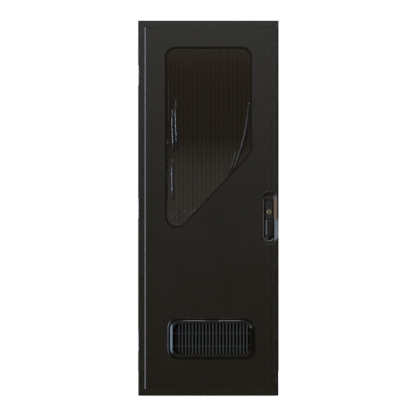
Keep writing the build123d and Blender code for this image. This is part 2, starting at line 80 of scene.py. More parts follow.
# Directions in the door's frame
RIGHT, BACK, UP = Vector((1, 0, 0)), Vector((0, 1, 0)), Vector((0, 0, 1))

Socket = bpy.types.NodeSocket


def linear(code: str) -> tuple[float, float, float, float]:
    """Turns an sRGB hex colour into linear RGBA.

    Args:
        code: Colour as a hash sign and six hex digits.

    Returns:
        Red, green, blue and alpha.
    """
    channels = [int(code[i:i + 2], 16) / 255 for i in (1, 3, 5)]
    return tuple(c / 12.92 if c <= 0.04045 else ((c + 0.055) / 1.055) ** 2.4 for c in channels) + (1.0,)


def add(tree: bpy.types.NodeTree, kind: str, settings: dict | None = None,
        links: dict | None = None) -> bpy.types.Node:
    """Adds one shader node with its settings and links.

    Args:
        tree: Node tree that takes the node.
        kind: Node type, without the leading ShaderNode.
        settings: Values of the node's own properties or, where it has none of that name, of its inputs.
        links: Output sockets, by the input that each one feeds.

    Returns:
        The new node.
    """
    made = tree.nodes.new("ShaderNode" + kind)
    for key, value in (settings or {}).items():
        if isinstance(key, str) and hasattr(made, key):
            setattr(made, key, value)
        else:
            made.inputs[key].default_value = value
    for key, socket in (links or {}).items():
        tree.links.new(socket, made.inputs[key])
    return made


@dataclass
class Graph:
    """Node tree with the steps that its layers share.

    Attributes:
        tree: Node tree of a material or of the surround.
    """

    tree: bpy.types.NodeTree

    def noise(self, place: Socket, size_mm: float, detail: float) -> Socket:
        """Gives cloudy noise round one half, with drifts of one size and finer ones laid over them."""
        settings = {"Scale": 1 / (size_mm * MM), "Detail": detail}
        return add(self.tree, "TexNoise", settings, {"Vector": place}).outputs[0]

    def ranged(self, value: Socket, limits: tuple[float, float], low: float = 0.0, high: float = 1.0,
               smooth: bool = False) -> Socket:
        """Maps a value so that it runs from low to high between two limits and holds past them.

        Args:
            value: Value to map.
            limits: Values that give low and high.
            low: Result at the first limit.
            high: Result at the second limit.
            smooth: Whether the result eases in and out.

        Returns:
            Socket with the result.
        """
        settings = {"interpolation_type": "SMOOTHSTEP" if smooth else "LINEAR", "From Min": limits[0],
                    "From Max": limits[1], "To Min": low, "To Max": high}
        return add(self.tree, "MapRange", settings, {"Value": value}).outputs[0]

    def product(self, *factors: Socket) -> Socket:
        """Multiplies values.

        Args:
            factors: Values to multiply.

        Returns:
            Socket with the product.
        """
        total, *others = factors
        for factor in others:
            total = add(self.tree, "Math", {"operation": "MULTIPLY"}, {0: total, 1: factor}).outputs[0]
        return total

    def blend(self, share: Socket, base: Socket, code: str, adds: bool = False) -> Socket:
        """Lays a colour over another one.

        Args:
            share: How much of the colour is laid.
            base: Colour below it.
            code: Colour to lay, as sRGB hex.
            adds: Whether it is light that adds to what is below.

        Returns:
            Socket with the new colour.
        """
        settings = {"data_type": "RGBA", "blend_type": "ADD" if adds else "MIX", "clamp_factor": not adds,
                    7: linear(code)}
        return add(self.tree, "Mix", settings, {0: share, 6: base}).outputs[2]


class Slot(Enum):
    """Material slots of the record."""

    FRAME = "frame_paint"
    BORDER = "border_paint"
    PANEL = "panel_paint"
    INNER = "inner_skin"
    FOAM = "foam"
    TIMBER = "block_timber"
    RUBBER = "seal_rubber"
    HINGE = "hinge_metal"
    STEEL = "plate_steel"
    PANE = "tinted_pane"
    SCREEN = "screen_mesh"
    TRIM = "trim_plastic"
    VENT = "vent_plastic"
    LOCK = "lock_plastic"
    BRASS = "key_brass"


@dataclass(frozen=True)
class Finish:
    """Surface finish with noise for its tone, its gloss and its grain. Sizes are in millimetres.

    Attributes:
        name: Real material and how its surface was made.
        colour: Main colour.
        shade: Colour that the tone drifts to.
        roughness: Lowest and highest roughness.
        tone_mm: Size of the drifts of tone.
        smudge_mm: Size of the drifts of gloss.
        grain_mm: Size of the surface grain.
        depth_mm: Depth of the surface grain.
        metallic: One for a bare metal.
        stretch: Squeeze of the grain along each axis, for drawn and brushed surfaces.
        specular: Strength of the mirror part, one half for most surfaces.
        dust: Share of pale dust on faces that look up.
        round_mm: Radius that sharp edges are shaded with.
        edge_highlight: Colour painted on these edges as a highlight.
        floor_light_mm: Depths where painted light on a dish's floor begins and where it is full.
        rubbed_mm: Distance from the door's middle line past which the gloss has rubbed off.
    """

    name: str
    colour: str
    shade: str
    roughness: tuple[float, float]
    tone_mm: float = 220.0
    smudge_mm: float = 70.0
    grain_mm: float = 1.2
    depth_mm: float = 0.01
    metallic: float = 0.0
    stretch: tuple[float, float, float] = (1.0, 1.0, 1.0)
    specular: float = 0.5
    dust: float = 0.0
    round_mm: float | None = None
    edge_highlight: str | None = None
    floor_light_mm: tuple[float, float] | None = None
    rubbed_mm: float | None = None

    def material(self) -> bpy.types.Material:
        """Builds the material.

        Returns:
            Material with a Principled shader.
        """
        made = bpy.data.materials.new(self.name)
        made.use_nodes = True
        coat = Coat(made.node_tree, self)
        shader = coat.tree.nodes["Principled BSDF"]
        shader.inputs["Metallic"].default_value = self.metallic
        shader.inputs["Specular IOR Level"].default_value = self.specular
        layers = {"Base Color": coat.colour(), "Roughness": coat.roughness(), "Normal": coat.normal()}
        if self.rubbed_mm:
            layers["Specular IOR Level"] = coat.mirror()
        for key, socket in layers.items():
            coat.tree.links.new(socket, shader.inputs[key])
        return made

    def height(self, coat: "Coat") -> Socket:
        """Gives the relief of the surface grain."""
        squeeze = add(coat.tree, "Mapping", {"Scale": self.stretch}, {"Vector": coat.place})
        return coat.noise(squeeze.outputs[0], self.grain_mm, coat.grain_detail)


@dataclass
class Coat(Graph):
    """Shader nodes of one finish, laid up layer by layer.

    Attributes:
        finish: Finish that the nodes show.
        tone_detail: Detail of the noise in tone and in the painted edge highlight.
        smudge_detail: Detail of the noise in gloss.
        grain_detail: Detail of the noise in the grain.
        smudge_span: Noise that gives the lowest and the highest roughness.
        round_samples: Rays that feel for a sharp edge.
        highlight_turn: Cosine of an edge's turn where the painted edge highlight begins and where it is full.
        highlight_depth_mm: Depths where the painted edge highlight begins and where it is full.
        highlight_side_mm: Distances from the door's middle line where the painted edge highlight begins and
            is full.
        highlight_height_mm: Heights above the sill of the weakest and the strongest painted edge highlight.
        highlight_height_least: Share of the painted edge highlight at the first of these heights.
        patch_mm: Size of the patches of the painted edge highlight.
        patch_span: Noise between two patches and on one.
        patch_least: Share of the painted edge highlight between two patches.
        floor_light_above_mm: Heights where painted light on a dish's floor begins and where it is full.
        floor_painted_light: Colour of that painted light.
        dust_span: How far a face looks up where dust begins and where it is full.
        pale_dust: Colour of dust on faces that look up.
        rub_fade_mm: Width over which the gloss rubs off.
        rub_gloss: Strength of the mirror part past it.
    """

    finish: Finish
    tone_detail: float = 3.0
    smudge_detail: float = 4.0
    grain_detail: float = 2.0
    smudge_span: tuple[float, float] = (0.3, 0.7)
    round_samples: int = 8
    highlight_turn: tuple[float, float] = (0.999, 0.97)
    highlight_depth_mm: tuple[float, float] = (-14.0, -18.0)
    highlight_side_mm: tuple[float, float] = (242.0, 250.0)
    highlight_height_mm: tuple[float, float] = (900.0, 680.0)
    highlight_height_least: float = 0.7
    patch_mm: float = 9.0
    patch_span: tuple[float, float] = (0.35, 0.6)
    patch_least: float = 0.45
    floor_light_above_mm: tuple[float, float] = (866.0, 876.0)
    floor_painted_light: str = "#5A554D"
    dust_span: tuple[float, float] = (0.35, 1.0)
    pale_dust: str = "#8D8779"
    rub_fade_mm: float = 1.0
    rub_gloss: float = 0.08

    def __post_init__(self) -> None:
        """Adds the coordinates that the layers share."""
        coords = add(self.tree, "TexCoord")
        self.place = coords.outputs["Object"]
        self.ways = add(self.tree, "SeparateXYZ", links={0: self.place}).outputs
        self.facing = add(self.tree, "SeparateXYZ", links={0: coords.outputs["Normal"]}).outputs

    def between(self, axis: int, limits_mm: tuple[float, float], low: float = 0.0) -> Socket:
        """Maps a coordinate, across, deep or up, to run from low to one between two places."""
        start, full = limits_mm
        return self.ranged(self.ways[axis], (start * MM, full * MM), low)

    def colour(self) -> Socket:
        """Lays a painted edge highlight, painted light on a dish's floor and dust over a drifting tone.

        Returns:
            Socket with the colour.
        """
        finish = self.finish
        tone = self.noise(self.place, finish.tone_mm, self.tone_detail)
        settings = {"data_type": "RGBA", 6: linear(finish.colour), 7: linear(finish.shade)}
        colour = add(self.tree, "Mix", settings, {0: tone}).outputs[2]
        # Painted highlight: sharp edges are laid pale, as if they caught the light
        if finish.edge_highlight:
            colour = self.blend(self.painted_edge_highlight(), colour, finish.edge_highlight)
        # Painted light: the upper floor of the dish is laid paler, where it lies in shade
        if finish.floor_light_mm:
            lit_floor_share = self.product(self.between(1, finish.floor_light_mm), self.between(2, self.floor_light_above_mm))
            colour = self.blend(lit_floor_share, colour, self.floor_painted_light)
        if finish.dust:
            level = self.ranged(self.facing[2], self.dust_span, high=finish.dust)
            colour = self.blend(level, colour, self.pale_dust)
        return colour

    def painted_edge_highlight(self) -> Socket:
        """Finds where sharp edges get a painted highlight, in broken patches near the front, low on the lock
        side.

        Returns:
            Socket with the share of painted highlight.
        """
        true = add(self.tree, "NewGeometry").outputs["Normal"]
        turn = add(self.tree, "VectorMath", {"operation": "DOT_PRODUCT"}, {0: self.softened(), 1: true})
        patch = self.noise(self.place, self.patch_mm, self.tone_detail)
        return self.product(self.ranged(turn.outputs["Value"], self.highlight_turn),
                            self.between(1, self.highlight_depth_mm), self.between(0, self.highlight_side_mm),
                            self.between(2, self.highlight_height_mm, self.highlight_height_least),
                            self.ranged(patch, self.patch_span, self.patch_least))

    def roughness(self) -> Socket:
        """Gives the roughness, which drifts between its two ends."""
        smudge = self.noise(self.place, self.finish.smudge_mm, self.smudge_detail)
        return self.ranged(smudge, self.smudge_span, *self.finish.roughness)

    def mirror(self) -> Socket:
        """Takes the gloss off towards both sides of the door.

        Returns:
            Socket with the strength of the mirror part.
        """
        off = add(self.tree, "Math", {"operation": "ABSOLUTE"}, {0: self.ways[0]}).outputs[0]
        end = self.finish.rubbed_mm * MM
        limits = (end - self.rub_fade_mm * MM, end)
        return self.ranged(off, limits, self.finish.specular, self.rub_gloss)

    def softened(self) -> Socket:
        """Gives a normal that turns softly over sharp edges."""
        settings = {"samples": self.round_samples, "Radius": self.finish.round_mm * MM}
        return add(self.tree, "Bevel", settings).outputs[0]

    def normal(self) -> Socket:
        """Adds the grain, over soft edges where the finish has them.

        Returns:
            Socket with the bumped normal.
        """
        links = {"Height": self.finish.height(self)}
        if self.finish.round_mm:
            links["Normal"] = self.softened()
        return add(self.tree, "Bump", {"Distance": self.finish.depth_mm * MM}, links).outputs[0]


@dataclass(frozen=True)
class TurnedMetal(Finish):
    """Metal turned on a lathe, with rings round an axis that runs front to back.

    Attributes:
        centre: Point on the axis.
        ring_mm: Spacing of the rings over two pi.
        wave_unit: Length over which a wave texture of scale one turns by one radian.
        waver: How unevenly the rings run.
    """

    centre: tuple[float, float, float] = (0.0, 0.0, 0.0)
    ring_mm: float = 0.7
    wave_unit: float = 0.05
    waver: float = 0.6

    def height(self, coat: Coat) -> Socket:
        """Adds the turning rings.

        Args:
            coat: Nodes of the material.

        Returns:
            Socket with the height.
        """
        away = tuple(-c for c in self.centre)
        moved = add(coat.tree, "Mapping", {"Location": away}, {"Vector": coat.place})
        settings = {"wave_type": "RINGS", "rings_direction": "Y", "Distortion": self.waver,
                    "Scale": self.wave_unit / (self.ring_mm * MM)}
        return add(coat.tree, "TexWave", settings, {"Vector": moved.outputs[0]}).outputs[1]


@dataclass(frozen=True)
class ClearSheet(Finish):
    """See-through sheet whose colour tints what lies behind it.

    Attributes:
        ior: Index of refraction.
    """

    ior: float = 1.49

    def material(self) -> bpy.types.Material:
        """Builds the material.

        Returns:
            Material with a transmitting Principled shader.
        """
        made = Finish.material(self)
        shader = made.node_tree.nodes["Principled BSDF"]
        shader.inputs["Transmission Weight"].default_value = 1.0
        shader.inputs["IOR"].default_value = self.ior
        return made


@dataclass(frozen=True)
class ClingFilm(Finish):
    """Clear film that can't be seen where it clings and shines where it has lifted off.

    Attributes:
        lift_mm: Lift past which the film shows fully.
        opacity: How much of it shows there.
    """

    lift_mm: float = 0.6
    opacity: float = 0.62

    def material(self) -> bpy.types.Material:
        """Builds the material.

        Returns:
            Material whose opacity follows the lift of the film.
        """
        made = Finish.material(self)
        graph = Graph(made.node_tree)
        lift = add(graph.tree, "Attribute", {"attribute_name": LIFT_LAYER}).outputs["Fac"]
        level = graph.ranged(lift, (0.0, self.lift_mm * MM), high=self.opacity)
        graph.tree.links.new(level, graph.tree.nodes["Principled BSDF"].inputs["Alpha"])
        return made


KEY_LOW, KEY_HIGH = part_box("key_cylinder")
KEY_CENTRE = (KEY_LOW + KEY_HIGH) / 2

FINISHES: dict[Slot, Finish] = {
    # Powder coat on extruded aluminium: satin black with a faint orange peel
    Slot.FRAME: Finish("powder_coated_extrusion_frame", "#221E19", "#2A2620", (0.4, 0.5), grain_mm=1.8,
                       depth_mm=0.012, specular=0.3, dust=0.1),
    Slot.BORDER: Finish("powder_coated_extrusion_border", "#241F15", "#282318", (0.25, 0.30), grain_mm=1.8,
                        depth_mm=0.012, dust=0.1, rubbed_mm=302.0),
    # Lacquered aluminium sheet: smooth satin black that drifts a little in tone
    Slot.PANEL: Finish("lacquered_aluminium_sheet", "#221D13", "#272217", (0.24, 0.28), tone_mm=320.0,
                       smudge_mm=120.0, grain_mm=1.1, depth_mm=0.004, dust=0.05),
    Slot.INNER: Finish("lacquered_aluminium_lining", "#262523", "#2C2B29", (0.36, 0.46), tone_mm=320.0,
                       smudge_mm=120.0, grain_mm=1.1, depth_mm=0.006),
    # Rigid polystyrene foam: cream white and rough
    Slot.FOAM: Finish("rigid_foam_board", "#E6E2D2", "#D8D2BE", (0.8, 0.9), grain_mm=3.0, depth_mm=0.3),
    # Sawn softwood: yellow brown with grain that runs up
    Slot.TIMBER: Finish("sawn_softwood", "#B08A58", "#8C6A40", (0.6, 0.75), tone_mm=14.0, grain_mm=2.5,
                        depth_mm=0.2, stretch=(1.0, 1.0, 0.05)),
    # Extruded rubber: deep matte black
    Slot.RUBBER: Finish("extruded_rubber", "#131211", "#181715", (0.75, 0.85), grain_mm=0.8, depth_mm=0.02,
                        specular=0.2, dust=0.1),
    # Mill finish aluminium: pale, with drawing lines along the knuckles
    Slot.HINGE: Finish("mill_finish_aluminium", "#A5ACAE", "#91999E", (0.14, 0.2), tone_mm=30.0,
                       grain_mm=0.6, depth_mm=0.01, metallic=1.0, stretch=(1.0, 1.0, 0.03)),
    # Brushed stainless steel: blue grey with upright brush lines
    Slot.STEEL: Finish("brushed_stainless_steel", "#B4BFCC", "#9CA7B4", (0.25, 0.38), tone_mm=40.0,
                       grain_mm=0.5, depth_mm=0.008, metallic=1.0, stretch=(1.0, 1.0, 0.03)),
    # Bronze tinted cast acrylic: dark brown, clear and smooth
    Slot.PANE: ClearSheet("tinted_cast_acrylic", "#423C34", "#474038", (0.02, 0.05), grain_mm=60.0,
                          depth_mm=0.02, specular=0.2),
    # Coated glass fibre thread: dull black
    Slot.SCREEN: Finish("coated_glass_fibre_thread", "#1C1B1A", "#252423", (0.5, 0.65), grain_mm=1.0,
                        depth_mm=0.05),
    # Moulded ABS: black with a fine spark eroded grain, polished to a shine on the vent
    Slot.TRIM: Finish("moulded_abs_trim", "#1F1E1C", "#272624", (0.36, 0.48), grain_mm=0.9, depth_mm=0.015,
                      dust=0.08),
    Slot.VENT: Finish("moulded_abs_vent", "#141311", "#1A1916", (0.05, 0.07), grain_mm=0.9, depth_mm=0.001,
                      dust=0.08),
    # Moulded nylon: black, half gloss, with pale painted highlights on its sharp edges, strongest near the
    # front, low on the lock side
    Slot.LOCK: Finish("moulded_nylon_lock", "#221F1B", "#292622", (0.14, 0.24), smudge_mm=18.0, grain_mm=0.8,
                      depth_mm=0.004, specular=0.35, round_mm=1.6, edge_highlight="#DCDAD4"),
    # Turned brass: dull yellow with rings from the lathe
    Slot.BRASS: TurnedMetal("turned_brass", "#F0E4C2", "#CFC094", (0.25, 0.4), tone_mm=8.0, metallic=1.0,
                            depth_mm=0.02, centre=tuple(KEY_CENTRE)),
}

# Moulded ABS with the soft edges of a thin moulding
SOFT_ABS = replace(FINISHES[Slot.VENT], name="moulded_abs_grille", round_mm=1.8)
# Moulded ABS of the cover, painted near black as the shade inside the duct, and dull
SHADED_ABS = replace(FINISHES[Slot.TRIM], name="abs_cover_painted_shade", colour="#080807", shade="#0C0B0A",
                   specular=0.15)
# Rubber lip with road dust in its skin, so a shade browner than the door's seal
DUSTY_RUBBER = replace(FINISHES[Slot.RUBBER], name="dusty_rubber_gasket", colour="#1E1912", shade="#252017")
# Moulded nylon with painted light on the upper floor of the dish, where it lies in shade
FLOOR_LIT_NYLON = replace(FINISHES[Slot.LOCK], name="nylon_dish_painted_floor_light", floor_light_mm=(-6.0, -2.5))
# Nylon painted pale along the lip of the dish, as the highlight that runs along it
HIGHLIGHT_NYLON = replace(FINISHES[Slot.LOCK], name="nylon_lip_painted_highlight", colour="#A8A6A0", shade="#ECEAE4",
                       tone_mm=14.0, round_mm=None, edge_highlight=None)
# Nylon with a fine moulded grain, so less shiny, and grey painted highlights on its edges
GRAINED_NYLON = replace(FINISHES[Slot.LOCK], name="grained_nylon_boss", roughness=(0.26, 0.4), specular=0.5,
                        round_mm=1.2, edge_highlight="#5A5852")
# Nylon polished by fingers: near black with a clear shine
POLISHED_NYLON = Finish("polished_nylon_paddle", "#161412", "#1B1917", (0.15, 0.22), smudge_mm=14.0,
                        grain_mm=0.8, depth_mm=0.003, specular=1.0, round_mm=3.5)
# Brass of the plug, painted brown and dark as the shade in its keyway, and dull
SHADED_BRASS = replace(FINISHES[Slot.BRASS], name="turned_brass_painted_shade", colour="#7A6B48", shade="#5E5238",
                     roughness=(0.35, 0.5), tone_mm=6.0)
# Blackened steel of the pin that the paddle turns on: near black and dull
BLACK_STEEL = Finish("blackened_steel_pin", "#191817", "#23211F", (0.35, 0.5), tone_mm=5.0, grain_mm=0.5)
# Clear polyethylene film: thin, soft and shiny along its creases
FILM = ClingFilm("clear_polyethylene_film", "#1E1F20", "#262728", (0.04, 0.08), grain_mm=40.0,
                 depth_mm=0.01, specular=0.8)
# Zinc plated steel: pale grey, a little blue
ZINC = Finish("zinc_plated_steel", "#AEB4B8", "#949A9E", (0.3, 0.45), tone_mm=4.0, grain_mm=0.4,
              depth_mm=0.01, metallic=1.0)
MATERIALS: dict[Finish, bpy.types.Material] = {}


def dressed(finish: Finish) -> bpy.types.Material:
    """Gives a finish's material, built on its first use.

    Args:
        finish: Finish to show.

    Returns:
        Its material.
    """
    if finish not in MATERIALS:
        MATERIALS[finish] = finish.material()
    return MATERIALS[finish]


def only(kind: type, items: list) -> list:
    """Picks the vertices, edges or faces from what an operator gives back."""
    return [item for item in items if isinstance(item, kind)]


def round_edges(bm: bmesh.types.BMesh, edges: list[bmesh.types.BMEdge], width_mm: float,
                segments: int) -> None:
    """Rounds edges of a mesh to a width, in a number of steps."""
    bmesh.ops.bevel(bm, geom=edges, offset=width_mm * MM, segments=segments, profile=CIRCLE, affect="EDGES",
                    clamp_overlap=True, material=-1)


def put_in_scene(name: str, data: bpy.types.ID) -> bpy.types.Object:
    """Makes an object of a mesh, a light or a camera and links it to the scene.

    Args:
        name: Name of the object.
        data: What the object shows.

    Returns:
        The new object.
    """
    made = bpy.data.objects.new(name, data)
    bpy.context.scene.collection.objects.link(made)
    return made


def make_piece(bm: bmesh.types.BMesh, name: str, body: str, slot: Slot, finish: Finish | None = None,
               replaces: tuple[str, ...] = ()) -> bpy.types.Object:
    """Turns a finished bmesh into a piece that rides on a body.

    Args:
        bm: Mesh in metres, in its place. It is freed.
        name: Name of the piece.
        body: CAD body that carries it.
        slot: Material slot of the record.
        finish: Its own finish, where that isn't the slot's.
        replaces: CAD nodes that it stands for.

    Returns:
        The new object.
    """
    mesh = bpy.data.meshes.new(name)
    for face in bm.faces:
        face.smooth = True
    bm.to_mesh(mesh)
    bm.free()
    piece = put_in_scene(name, mesh)
    mesh.materials.append(dressed(finish or FINISHES[slot]))
    weighted = piece.modifiers.new("weighted_normals", "WEIGHTED_NORMAL")
    weighted.keep_sharp = True
    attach(piece, body)
    if replaces:
        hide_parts(*replaces)
    LOG.info("%s on %s, %d faces", name, body, len(mesh.polygons))
    return piece


@dataclass(frozen=True)
class Band:
    """Edges at one depth that take a round of their own.

    Attributes:
        depth_mm: Their depth.
        width_mm: Width of the round.
        segments: Steps of the round.
        above_mm: Height above the sill where the band begins.
        slack_mm: How far an end of an edge may lie off the depth.
    """

    depth_mm: float
    width_mm: float
    segments: int
    above_mm: float = 0.0
    slack_mm: float = 0.1

    def holds(self, edge: bmesh.types.BMEdge) -> bool:
        """Tells whether both ends of an edge lie in the band."""
        return all(abs(v.co.y / MM - self.depth_mm) <= self.slack_mm and v.co.z / MM >= self.above_mm
                   for v in edge.verts)


@dataclass
class EasedNode:
    """CAD node whose sharp edges are softly broken, as on a moulded, cast or coated piece.

    Attributes:
        node: Name of the CAD node.
        width_mm: Width of the broken edge.
        segments: Steps of its round.
        bands: Edges that take a round of their own.
        finish: Its own finish, where that isn't the slot's.
        flat_deg: Largest fold that counts as flat when triangles are merged.
        sharp_deg: Smallest fold that counts as a sharp edge.
    """

    node: str
    width_mm: float
    segments: int = 2
    bands: tuple[Band, ...] = ()
    finish: Finish | None = None
    flat_deg: float = 0.4
    sharp_deg: float = 28.0

    def build(self) -> bpy.types.Object:
        """Copies the node, merges it, breaks its edges and puts the copy in its place.

        Returns:
            The new object.
        """
        bm = bmesh.new()
        source = frame["nodes"][self.node]
        bm.from_mesh(source.data)
        bmesh.ops.remove_doubles(bm, verts=bm.verts, dist=WELD)
        bmesh.ops.dissolve_limit(bm, angle_limit=math.radians(self.flat_deg), verts=bm.verts, edges=bm.edges)
        for band in self.bands:
            self.soften(bm, [e for e in self.sharp(bm) if band.holds(e)], band.width_mm, band.segments)
        self.soften(bm, self.sharp(bm), self.width_mm, self.segments)
        slot = Slot(next(p["material_slot"] for p in frame["record"]["subparts"] if p["node"] == self.node))
        return make_piece(bm, f"{self.node}.eased", source["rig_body"], slot, self.finish, (self.node,))

    def sharp(self, bm: bmesh.types.BMesh) -> list[bmesh.types.BMEdge]:
        """Lists the edges that fold sharply."""
        limit = math.radians(self.sharp_deg)
        return [e for e in bm.edges if e.is_manifold and e.calc_face_angle() > limit]

    def soften(self, bm: bmesh.types.BMesh, edges: list[bmesh.types.BMEdge], width_mm: float,
               segments: int) -> None:
        """Rounds edges, one connected run at a time, so that a tight spot narrows only its own run.

        Args:
            bm: Mesh to change.
            edges: Edges to round.
            width_mm: Width of the round.
            segments: Steps of the round.
        """
        left = dict.fromkeys(edges)
        while left:
            run = [next(iter(left))]
            del left[run[0]]
            for edge in run:
                near = {e: None for v in edge.verts for e in v.link_edges if e in left}
                run += near
                left = {e: None for e in left if e not in near}
            round_edges(bm, run, width_mm, segments)
            left = {e: None for e in left if e.is_valid}


class ScrewHead(Enum):
    """Kinds of screw head, by how far the head is domed, as a share of its radius."""

    PAN = 0.45
    FLUSH = 0.06


@dataclass
class ScrewSet:
    """Cross recessed screws of one kind that hold one piece.

    Attributes:
        name: Name of the piece.
        body: CAD body that carries the screws.
        head: Kind of head.
        radius_mm: Radius of the head.
        places: Foot of each head on the surface.
        out: Direction that the heads face.
        cells: Cells each way of the grid that a head is made from.
        cross_cells: Cells from the middle to the side and to the end of the cross.
        spin: Turn from one cross to the next, in radians.
        crown: Height of the middle over the height that the dome falls.
        cross_taper: Size of the floor of the cross over that of its mouth.
        cross_depth: Depth of the cross, as a share of the head's radius.
        skirt: Depth of the rim's foot in the surface, as a share of the head's radius.
    """

    name: str
    body: str
    head: ScrewHead
    radius_mm: float
    places: list[Vector]
    out: Vector
    cells: int = 8
    cross_cells: tuple[float, float] = (1.0, 2.5)
    spin: float = 0.9
    crown: float = 1.1
    cross_taper: float = 0.7
    cross_depth: float = 0.3
    skirt: float = 0.1

    def build(self) -> bpy.types.Object:
        """Makes one mesh of all the heads.

        Returns:
            The new object.
        """
        bm = bmesh.new()
        turn = self.out.to_track_quat("Z", "Y").to_matrix().to_4x4()
        for count, place in enumerate(self.places):
            spin = Matrix.Rotation(count * self.spin, 4, "Z")
            self.add_head(bm, Matrix.Translation(place) @ turn @ spin)
        return make_piece(bm, self.name, self.body, Slot.STEEL, ZINC)

    def add_head(self, bm: bmesh.types.BMesh, place: Matrix) -> None:
        """Adds one head: a grid with a sunk cross, rounded to a disc, domed, given a skirt and closed.

        Args:
            bm: Mesh that takes the head.
            place: Where the head stands, with its own +Z pointing out.
        """
        made = bmesh.ops.create_grid(bm, x_segments=self.cells, y_segments=self.cells, size=1.0)
        verts = set(made["verts"])
        side, end = (count * 2.0 / self.cells for count in self.cross_cells)
        cross = []
        for face in {f for v in verts for f in v.link_faces}:
            spot = face.calc_center_median()
            near, far = sorted((abs(spot.x), abs(spot.y)))
            if near < side and far < end:
                cross.append(face)
        rim = [e for e in {e for v in verts for e in v.link_edges} if e.is_boundary]
        sunk = only(bmesh.types.BMVert, bmesh.ops.extrude_face_region(bm, geom=cross)["geom"])
        bmesh.ops.delete(bm, geom=cross, context="FACES")
        skirt = only(bmesh.types.BMVert, bmesh.ops.extrude_edge_only(bm, edges=rim)["geom"])
        every = [v for v in verts | set(sunk) | set(skirt) if v.is_valid]
        for vert in every:
            x, y = vert.co.x, vert.co.y
            vert.co.x = x * math.sqrt(1 - y * y / 2)
            vert.co.y = y * math.sqrt(1 - x * x / 2)
            vert.co.z = self.head.value * (self.crown - vert.co.x ** 2 - vert.co.y ** 2)
        bmesh.ops.scale(bm, vec=(self.cross_taper, self.cross_taper, 1.0), verts=sunk)
        bmesh.ops.translate(bm, vec=-UP * self.cross_depth, verts=sunk)
        for vert in skirt:
            vert.co.z = -self.skirt
        bmesh.ops.holes_fill(bm, edges=[e for e in bm.edges if e.is_boundary], sides=0)
        bmesh.ops.scale(bm, vec=[self.radius_mm * MM] * 3, verts=every)
        bmesh.ops.transform(bm, matrix=place, verts=every)
        bmesh.ops.recalc_face_normals(bm, faces=list({f for v in every for f in v.link_faces}))


@dataclass
class Crease:
    """Soft ridge in the film that follows a gently bent line.

    Attributes:
        start: One end, across and up, in millimetres.
        end: Other end.
        bow_mm: How far the middle leaves the straight line.
        rise_mm: Height of the ridge.
        half_mm: Half of its width.
        margin_mm: Reach of the ridge past its ends.
        tilt: Largest slope against a direction that still counts as crossing the other one.
        taper: Power by which the ridge falls towards its ends, low for a late fall.
    """

    start: tuple[float, float]
    end: tuple[float, float]
    bow_mm: float
    rise_mm: float
    half_mm: float
    margin_mm: float = 10.0
    tilt: float = 1.2
    taper: float = 0.35

    def reaches(self, place: float, axis: int) -> bool:
        """Tells whether the ridge crosses a direction and passes a place there, with a margin.

        Args:
            place: Coordinate in metres.
            axis: 0 for a place across the door, 1 for one up the door.

        Returns:
            True where the cuts have to be close.
        """
        ends = sorted((self.start[axis], self.end[axis]))
        others = (self.start[1 - axis], self.end[1 - axis])
        crosses = ends[1] - ends[0] < self.tilt * abs(others[0] - others[1])
        return crosses and ends[0] - self.margin_mm < place / MM < ends[1] + self.margin_mm

    def height_at(self, x: float, z: float) -> float:
        """Gives the ridge's height over a point.

        Args:
            x: Place across the door.
            z: Height above the sill.

        Returns:
            Height above the flat film, in metres.
        """
        line = Vector(self.end) - Vector(self.start)
        spot = Vector((x / MM, z / MM)) - Vector(self.start)
        share = spot.dot(line) / line.length_squared
        if not 0.0 < share < 1.0:
            return 0.0
        swell = math.sin(math.pi * share)
        aside = Vector((-line.y, line.x)).normalized()
        off = (spot.dot(aside) - self.bow_mm * swell) / self.half_mm
        return self.rise_mm * MM * swell ** self.taper * math.exp(-off * off)


CREASES = [
    Crease((-160.0, 1262.0), (-152.0, 1080.0), -1.0, 3.0, 3.6),
    Crease((-145.0, 1305.0), (-138.0, 1085.0), -1.0, 2.7, 3.4),
    Crease((-181.0, 1125.0), (-182.0, 860.0), 1.0, 2.3, 2.6),
    Crease((-159.0, 1045.0), (-156.0, 868.0), -1.0, 3.0, 3.6),
    Crease((181.0, 1300.0), (108.0, 990.0), 14.0, 2.1, 3.8),
    Crease((172.0, 1190.0), (150.0, 1080.0), 4.0, 1.4, 2.6),
    Crease((-178.0, 1400.0), (-172.0, 1180.0), 2.0, 1.5, 2.4),
    Crease((120.0, 1080.0), (96.0, 985.0), 2.0, 1.6, 2.6),
    Crease((-186.0, 794.0), (-98.0, 817.0), 1.5, 1.0, 2.6),
    Crease((-186.0, 784.0), (-106.0, 803.0), 1.5, 1.0, 2.6),
    Crease((-184.0, 775.0), (-122.0, 789.0), 1.0, 0.9, 2.6),
    Crease((-96.0, 786.0), (-52.0, 824.0), 1.5, 0.9, 2.4),
]


@dataclass
class Corner:
    """Rounded corner of an outline, passed clockwise as seen from outside.

    Attributes:
        start: Where the round begins.
        centre: Centre of the round.
        turn: Angle of the round.
    """

    start: Vector
    centre: Vector
    turn: float


